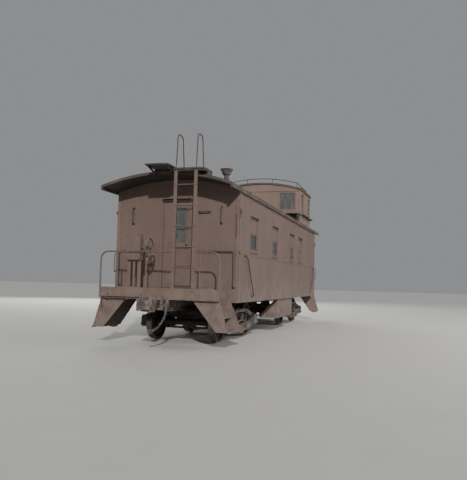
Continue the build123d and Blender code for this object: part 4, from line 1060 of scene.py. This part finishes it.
class CABOOSE_OT_window_trim(bpy.types.Operator):
    """Fits mouldings, sills and sash rails to the windows."""

    bl_idname = "caboose.window_trim"
    bl_label = "Window trim"

    def execute(self, context):
        trim = context.scene.caboose_trim
        wide, proud = trim.trim_wide, trim.trim_proud
        sunk, sill_over, sill_proud = 0.004, 0.045, 0.028
        recess, sash_in = SIDE_HALF - 0.015, 0.04
        boxes, sashes, upper = [], [], []
        for side in SIDES:
            for x in WINDOW_X:
                span = (x - WINDOW_HALF, x + WINDOW_HALF)
                boxes += surround(span, SIDE_HALF, (WINDOW_LOW, WINDOW_HIGH), wide, proud, side)
                a = (span[0] - sill_over, side * (SIDE_HALF - sunk), WINDOW_LOW - 0.05)
                b = (span[1] + sill_over, side * (SIDE_HALF + sill_proud), WINDOW_LOW - 0.018)
                boxes.append((a, b))
                inner = (span[0] + sash_in, span[1] - sash_in)
                if x != BLANKED_X:
                    clear = (WINDOW_MID + 0.045, WINDOW_HIGH - 0.045)
                    sashes += surround(inner, recess, clear, 0.034, 0.007, side)
                low = (WINDOW_LOW + 0.045, WINDOW_MID - 0.03)
                sashes += surround(inner, recess, low, 0.01, 0.005, side)
        shoulder = CUPOLA_TALL - CUPOLA_RISE
        low, high = [ROOF_CROWN + share * shoulder for share in PANE_SHARES]
        pane_y, pane_half = 0.68 * SIDE_HALF, 0.27
        drip_half, drip_low, drip_high = 1.39, high + 0.05, high + 0.075
        for x, out in ((CUPOLA_FROM, -1), (CUPOLA_TO, 1)):
            for y in (-pane_y, pane_y):
                span = (y - pane_half, y + pane_half)
                upper += surround_end(x, out, span, (low, high), wide, proud)
            # a drip moulding over the panes
            a = (x - out * sunk, -drip_half, drip_low)
            upper.append((a, (x + out * 0.02, drip_half, drip_high)))
        side_in, side_half, drop = 0.28, 0.24, 0.032
        for side in SIDES:
            for x in (CUPOLA_FROM + side_in, CUPOLA_TO - side_in):
                span, tall = (x - side_half, x + side_half), (low - drop, high - drop)
                upper += surround(span, SIDE_HALF, tall, wide, proud, side)
        strips("window_mouldings", boxes, 0.002)
        strips("cupola_mouldings", upper, 0.002, "cupola")
        strips("sash_rails", sashes, 0.0015, "sash")
        return {"FINISHED"}


class CABOOSE_OT_door_trim(bpy.types.Operator):
    """Trims the end door openings and the doors."""

    bl_idname = "caboose.door_trim"
    bl_label = "Door trim"

    def execute(self, context):
        trim = context.scene.caboose_trim
        wide, proud = trim.trim_wide * 1.3, trim.trim_proud
        opening = (-DOOR_HALF, DOOR_HALF)
        boxes, head_shades = [], []
        tall = (DECK_TOP + 0.05, DOOR_HEAD)
        shade_half, shade_thick, shade_tall = 0.36, 0.013, (DOOR_HEAD - 0.01, DOOR_HEAD + 0.048)
        for end in ENDS:
            around = surround_end(end * BODY_HALF, end, opening, tall, wide, proud)
            # no moulding at the threshold
            boxes += around[:2] + around[3:]
            # a near-black rubber strip over the doorway: painted shade under the door head
            x = end * (BODY_HALF - 0.002)
            a = (x, -shade_half, shade_tall[0])
            head_shades.append((a, (x + end * shade_thick, shade_half, shade_tall[1])))
        strips("door_mouldings", boxes, 0.002)
        strips("door_head_shade_strips", head_shades, 0.003, "strip")
        pane, pane_tall = (-0.215, 0.215), (DECK_TOP + 1.01, DECK_TOP + 1.76)
        knob_y, plate_half, plate_tall = 0.255, 0.03, (2.08, 2.27)
        kick_half, kick_tall, stile_y = 0.28, (1.26, 1.33), (0.095, 0.22)
        for name, end in (("a", -1), ("b", 1)):
            face = end * (BODY_HALF - 0.018)
            leaf = surround_end(face, end, pane, pane_tall, 0.022, 0.006)
            y = end * knob_y
            a = (face, y - plate_half, plate_tall[0])
            leaf.append((a, (face + end * 0.004, y + plate_half, plate_tall[1])))
            a = (face, -kick_half, kick_tall[0])
            leaf.append((a, (face + end * 0.003, kick_half, kick_tall[1])))
            # the leaf's wide stile on the hinge side of its pane
            a = (face - end * 0.004, -end * stile_y[0], pane_tall[0] - 0.01)
            leaf.append((a, (face + end * 0.005, -end * stile_y[1], pane_tall[1] + 0.01)))
            strips("door_fittings_" + name, leaf, 0.0012, "sash", "end_door_" + name)
        return {"FINISHED"}


# tool boxes, trucks and roof walk
class CABOOSE_OT_tool_box_rivets(bpy.types.Operator):
    """Rivets the underfloor tool boxes and their drop doors."""

    bl_idname = "caboose.tool_box_rivets"
    bl_label = "Tool box rivets"

    def execute(self, context):
        lo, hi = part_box("tool_boxes")
        fixed = []
        for side in SIDES:
            face, out = side * BOX_FACE, (0, side, 0)
            for z in (hi[2] - 0.02, lo[2] + 0.01):
                fixed += row((lo[0] + 0.03, face, z), (hi[0] - 0.03, face, z), 0.1, out)
        rivets("tool_box_rivets", fixed, dia=0.7, high=0.8)
        for door, side in (("right", -1), ("left", 1)):
            lo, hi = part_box("tool_door_" + door)
            face, low, high = side * BOX_FACE, lo[2] + 0.03, hi[2] - 0.09
            spots = []
            for x in (-0.95, -0.32, 0.32, 0.95):
                spots += row((x, face, low), (x, face, high), 0.09, (0, side, 0))
            name = "tool_door_rivets_" + door
            rivets(name, spots, body="box_door_" + door, dia=0.7, high=0.8)
        return {"FINISHED"}


class CABOOSE_OT_truck_fittings(bpy.types.Operator):
    """Bolts the truck frames together."""

    bl_idname = "caboose.truck_fittings"
    bl_label = "Truck fittings"

    def execute(self, context):
        frame_out, lid_out = 0.048, 0.095 + 0.01 + 0.024
        for name, middle in (("a", -TRUCK_X), ("b", TRUCK_X)):
            spots = []
            for side in SIDES:
                face, lid = side * (JOURNAL_Y + frame_out), side * (JOURNAL_Y + lid_out)
                out = (0, side, 0)
                for x in (-0.4, 0.4):
                    spots += [((middle + x, face, z), out) for z in (0.3, 0.36, 0.6, 0.66)]
                for x in (-HALF_BASE, HALF_BASE):
                    for dx in (-0.08, 0.08):
                        spots.append(((middle + x + dx, lid, AXLE_Z - 0.09), out))
            nuts("truck_nuts_" + name, spots, 1.0, 0.02, "truck", "truck_" + name)
        return {"FINISHED"}


class CABOOSE_OT_springs(bpy.types.Operator):
    """Stacks the leaves of the truck springs and clips them in their bands."""

    bl_idname = "caboose.springs"
    bl_label = "Leaf springs"

    def execute(self, context):
        half, leaf, wide, slit = 0.328, 0.0095, 0.054, 0.0012
        count, leaves, shorter = 12, 5, 0.15
        band_half, band_wide = 0.045, 0.063
        for name, middle in (("a", -TRUCK_X), ("b", TRUCK_X)):
            lo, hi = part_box("springs_" + name)
            low, high = lo[2] + 0.015, hi[2] - 0.015
            waist = (low + high) / 2
            verts, faces, hoops, clips = [], [], [], []
            for side in SIDES:
                across = side * JOURNAL_Y
                for outer in (low, high):
                    inward = 1 if outer < waist else -1
                    for k in range(leaves):
                        # each leaf lies inside the one before and is shorter
                        span = half * (1 - shorter * k)
                        base = len(verts)
                        for j in range(count + 1):
                            x = -span + 2 * span * j / count
                            z = outer + (waist - outer) * (x / half) ** 2 + inward * k * leaf
                            z1 = z + inward * (leaf - slit)
                            for dy, height in ((-wide, z), (wide, z), (wide, z1), (-wide, z1)):
                                verts.append((middle + x, across + dy, height))
                            if j:
                                a = base + 4 * (j - 1)
                                for i in range(4):
                                    after = (i + 1) % 4
                                    faces.append((a + i, a + after, a + 4 + after, a + 4 + i))
                        faces.append((base, base + 1, base + 2, base + 3))
                        last = base + 4 * count
                        faces.append((last + 3, last + 2, last + 1, last))
                    a = (middle - band_half, across - band_wide, outer - inward * 0.014)
                    b = (middle + band_half, across + band_wide, outer + inward * 0.052)
                    clips.append((a, b))
                for end in ENDS:
                    eye = (middle + end * (half - 0.016), across, waist)
                    hoops.append((eye, (0, 1, 0), 0.008, 0.021, 2 * wide))
            body = "truck_" + name
            made = piece("spring_leaves_" + name, verts, faces, "spring", body)
            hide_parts("springs_" + name)
            bands("spring_eyes_" + name, hoops, "spring", body)
            strips("spring_bands_" + name, clips, 0.006, "spring", body)
        return {"FINISHED"}


class CABOOSE_OT_walk_bolts(bpy.types.Operator):
    """Bolts the roof boards to their bearers."""

    bl_idname = "caboose.walk_bolts"
    bl_label = "Walk bolts"

    def execute(self, context):
        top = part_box("roof_walk")[1][2]
        bearer_pitch = 1.08
        spots = []
        for x0, x1 in ((-5.74, 1.97), (3.97, 5.74)):
            count = max(2, round((x1 - x0) / bearer_pitch) + 1)
            for k in range(count):
                x = x0 + (x1 - x0) * k / (count - 1)
                for y in (-0.22, -0.12, -0.05, 0.05, 0.12, 0.22):
                    spots.append(((x, y, top), (0, 0, 1)))
        rivets("walk_bolt_heads", spots, "cast", dia=0.8, high=0.5)
        return {"FINISHED"}


# corners, couplers, rails and brakes
class CABOOSE_OT_corner_strips(bpy.types.Operator):
    """Covers the body's corners with angle strips and hangs the lamp brackets beside them."""

    bl_idname = "caboose.corner_strips"
    bl_label = "Corner strips"

    def execute(self, context):
        proud, sunk, along, across = 0.006, 0.003, 0.06, 0.055
        top = arc_height(ROOF_CROWN, ROOF_RISE, ROOF_HALF, SIDE_HALF) - 0.03
        boxes, plates = [], []
        back_tall, socket_tall = (2.76, 2.95), (2.86, 2.93)
        rod_low, head_low, rod_high = 2.32, 2.8, 2.84
        for end in ENDS:
            for side in SIDES:
                x, y = end * (BODY_HALF + proud), side * (SIDE_HALF + proud)
                edges = [
                    (end * (BODY_HALF - along), side * (SIDE_HALF - sunk)),
                    (end * (BODY_HALF - sunk), side * (SIDE_HALF - across)),
                ]
                boxes += [((x, y, SIDE_LOW), (*edge, top)) for edge in edges]
                # a lamp bracket: its back plate and its socket
                x, y = end * (BODY_HALF - 0.022), side * (SIDE_HALF + 0.005)
                for wide, deep, (low, high) in (
                    (0.02, 0.008, back_tall),
                    (0.028, 0.034, socket_tall),
                ):
                    plates.append(((x - wide, y, low), (x + wide, y + side * deep, high)))
            # a rod beside one bracket on the end wall, with its head
            x, y = end * BODY_HALF, end * (SIDE_HALF - 0.068)
            for wide, deep, low in ((0.007, 0.016, rod_low), (0.014, 0.022, head_low)):
                plates.append(((x, y - wide, low), (x + end * deep, y + wide, rod_high)))
        # the corner strips take the paler enamel, a painted highlight
        strips("corner_strips", boxes, 0.003, "edge")
        strips("lamp_brackets", plates, 0.003, "grab")
        return {"FINISHED"}


class CABOOSE_OT_corner_grabs(bpy.types.Operator):
    """Bends the upright grab irons at two corners."""

    bl_idname = "caboose.corner_grabs"
    bl_label = "Corner grab irons"

    def execute(self, context):
        out, low, high, bend, dia = 0.06, 1.56, 1.96, 0.04, 0.024
        # route: (out from the side, height)
        route = [(0, low), (out - bend, low), (out, low), (out, low + bend)]
        route += [(out, high - bend), (out, high), (out - bend, high), (0, high)]
        for name, turn in (("a", 1), ("b", -1)):
            x, wall = turn * (-BODY_HALF + 0.03), turn * SIDE_HALF
            points = [(x, wall + turn * y, z) for y, z in route]
            rod("corner_grab_" + name, points, dia, "rail", facets=3, steps=6)
        return {"FINISHED"}


class CABOOSE_OT_coupler_fittings(bpy.types.Operator):
    """Adds the coupler's pin heads and lock, and bolts the striker and the cut lever."""

    bl_idname = "caboose.coupler_fittings"
    bl_label = "Coupler fittings"

    def execute(self, context):
        lo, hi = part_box("couplers")
        pin_x, pin_y = -SILL_FACE - 0.495, -0.078
        lift_x, lift_y, lift_z = -SILL_FACE - 0.36, 0.04, hi[2] - 0.004
        strike_x, strike_y = -SILL_FACE - 0.04, 0.124
        heads = twins((pin_x, pin_y, hi[2] - 0.001), (0, 0, 1))
        heads += twins((pin_x, pin_y, lo[2] + 0.001), (0, 0, -1))
        bolts = []
        for y in (-strike_y, strike_y):
            for z in (0.83, 0.9, 0.97, 1.035):
                bolts += twins((strike_x, y, z), (-1, 0, 0))
        # cut lever brackets
        for y in (1.12, 0.34):
            for dz in (-0.045, 0.045):
                bolts += twins((-SILL_FACE, y, DECK_TOP - 0.188 + dz), (-1, 0, 0))
        hoops, blocks = [], []
        for turn in (1, -1):
            x, y, z = turn * lift_x, turn * lift_y, lift_z
            hoops.append(((x, y, z), (0, 1, 0), 0.013, 0.026, 0.014))
            hoops.append(((x + turn * 0.03, y, z), (0, 1, 0), 0.013, 0.024, 0.012))
            a = (x - turn * 0.045, y - turn * 0.035, z - 0.03)
            blocks.append((a, (x + turn * 0.05, y + turn * 0.035, z - 0.004)))
        domes("knuckle_pin_heads", heads, 0.06, 0.012, "coupler", sides=16)
        nuts("striker_nuts", bolts, 0.85, 0.014, "coupler")
        bands("lock_lift_eyes", hoops, "coupler")
        strips("lock_blocks", blocks, 0.006, "coupler")
        return {"FINISHED"}


class CABOOSE_OT_rail_fittings(bpy.types.Operator):
    """Flanges the feet of the end rails, and bolts grab irons, ladders and steps."""

    bl_idname = "caboose.rail_fittings"
    bl_label = "Rail, ladder and step fittings"

    def execute(self, context):
        rail_x, rail_r, wall = -SILL_FACE + 0.022, 0.011, -BODY_HALF
        up, ahead = (0, 0, 1), (-1, 0, 0)
        feet, pads, heads, grips = [], [], [], []
        for y in (1.316, 0.93, -0.905, -1.316):
            for point, out in twins((rail_x, y, DECK_TOP + 0.005), up):
                feet.append((point, up, rail_r, 0.034, 0.01))
        # ends of the grab irons: (point, out of the wall)
        for s in SIDES:
            for y, z in ((0.36 * SIDE_HALF, 2.03), (SIDE_HALF - 0.103, 1.262)):
                grips.append(((wall, s * y, z), ahead))
            for z in (2.99, 2.64):
                grips.append(((wall, s * (SIDE_HALF - 0.403), z), ahead))
            grips.append(((wall + 0.465, s * SIDE_HALF, BELT_Z - 0.076), (0, s, 0)))
            grips.append(((wall + 1.085, s * SIDE_HALF, SIDE_LOW + 0.128), (0, s, 0)))
        for y in (-0.37 * SIDE_HALF, -0.53 * SIDE_HALF):
            grips.append(((wall, y, 2.887), ahead))
        for grip in grips:
            for point, out in twins(*grip):
                centre = Vector(point) + Vector(out) * 0.004
                pads.append((centre, out, rail_r, 0.027, 0.009))
        # rung heads in the stiles
        rungs, rung_step, stiles = 5, 0.4235, (-0.766, -0.326)
        for k in range(rungs):
            for y in stiles:
                heads += twins((rail_x - 0.012, y, DECK_TOP + rung_step * (k + 1)), ahead)
        # tread bolts in the near stringers
        treads, first_tread, first_back, drop, run = 3, 0.285, 0.89, 0.275, 0.19
        steps_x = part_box("steps")[0][0]
        for k in range(treads):
            z, back = DECK_TOP - first_tread - drop * k, first_back + run * k
            for y in (back + 0.05, back + 0.17):
                for s in SIDES:
                    heads += twins((steps_x, s * y, z), ahead)
        bands("rail_flanges", feet, "rail")
        bands("grab_flanges", pads, "grab", sides=12)
        rivets("ladder_and_step_bolts", heads)
        return {"FINISHED"}


class CABOOSE_OT_brake_stand_fittings(bpy.types.Operator):
    """Bolts the hand brake cases together."""

    bl_idname = "caboose.brake_stand_fittings"
    bl_label = "Brake stand fittings"

    def execute(self, context):
        face, bolts = -SILL_FACE + 0.04, []
        for y in (0.462, 0.717):
            for z in (1.825, 2.065, 2.305):
                bolts += twins((face, y, z), (-1, 0, 0))
        nuts("brake_stand_nuts", bolts, 0.7, 0.01, "cast")
        return {"FINISHED"}


class CABOOSE_OT_smokejack_bands(bpy.types.Operator):
    """Bands the stove's smokejack."""

    bl_idname = "caboose.smokejack_bands"
    bl_label = "Smokejack bands"

    def execute(self, context):
        lo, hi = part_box("smokejack")
        x, y = (lo[0] + hi[0]) / 2, (lo[1] + hi[1]) / 2
        mouth = (hi[0] - lo[0]) / 2
        # bands: (below the top, inner radius, outer radius, width)
        hoops = [
            (0.008, mouth - 0.008, mouth + 0.003, 0.016),
            (0.14, 0.06, 0.071, 0.03),
            (0.25, 0.06, 0.067, 0.022),
        ]
        rings = [((x, y, hi[2] - drop), (0, 0, 1), a, b, wide) for drop, a, b, wide in hoops]
        bands("smokejack_bands", rings, "soot", sides=28)
        return {"FINISHED"}


OPERATORS = [
    CABOOSE_OT_camera,
    CABOOSE_OT_finishes,
    CABOOSE_OT_hoses,
    CABOOSE_OT_side_rivets,
    CABOOSE_OT_end_rivets,
    CABOOSE_OT_cupola_rivets,
    CABOOSE_OT_roof_seams,
    CABOOSE_OT_window_trim,
    CABOOSE_OT_door_trim,
    CABOOSE_OT_tool_box_rivets,
    CABOOSE_OT_truck_fittings,
    CABOOSE_OT_walk_bolts,
    CABOOSE_OT_corner_strips,
    CABOOSE_OT_corner_grabs,
    CABOOSE_OT_springs,
    CABOOSE_OT_coupler_fittings,
    CABOOSE_OT_rail_fittings,
    CABOOSE_OT_brake_stand_fittings,
    CABOOSE_OT_smokejack_bands,
    CABOOSE_OT_stage,
]
SETTINGS = {
    "caboose_camera": CabooseCamera,
    "caboose_paint": CaboosePaint,
    "caboose_fasteners": CabooseFasteners,
    "caboose_trim": CabooseTrim,
    "caboose_stage": CabooseStage,
}


class CABOOSE_PT_panel(bpy.types.Panel):
    """Lists the settings and the buttons that build the pieces."""

    bl_idname = "CABOOSE_PT_panel"
    bl_label = "Riveted caboose"
    bl_space_type = "VIEW_3D"
    bl_region_type = "UI"
    bl_category = "Caboose"

    def draw(self, context):
        for name, group in SETTINGS.items():
            settings = getattr(context.scene, name)
            box = self.layout.box()
            for key in group.__annotations__:
                box.prop(settings, key)
        for operator in OPERATORS:
            self.layout.operator(operator.bl_idname)


def register():
    for group in SETTINGS.values():
        bpy.utils.register_class(group)
    for name, group in SETTINGS.items():
        setattr(bpy.types.Scene, name, bpy.props.PointerProperty(type=group))
    for operator in OPERATORS:
        bpy.utils.register_class(operator)
    bpy.utils.register_class(CABOOSE_PT_panel)


def unregister():
    bpy.utils.unregister_class(CABOOSE_PT_panel)
    for operator in reversed(OPERATORS):
        bpy.utils.unregister_class(operator)
    for name in SETTINGS:
        delattr(bpy.types.Scene, name)
    for group in reversed(list(SETTINGS.values())):
        bpy.utils.unregister_class(group)


def main():
    register()
    for operator in OPERATORS:
        getattr(bpy.ops.caboose, operator.bl_idname.split(".")[1])()


if __name__ == "__main__":
    main()
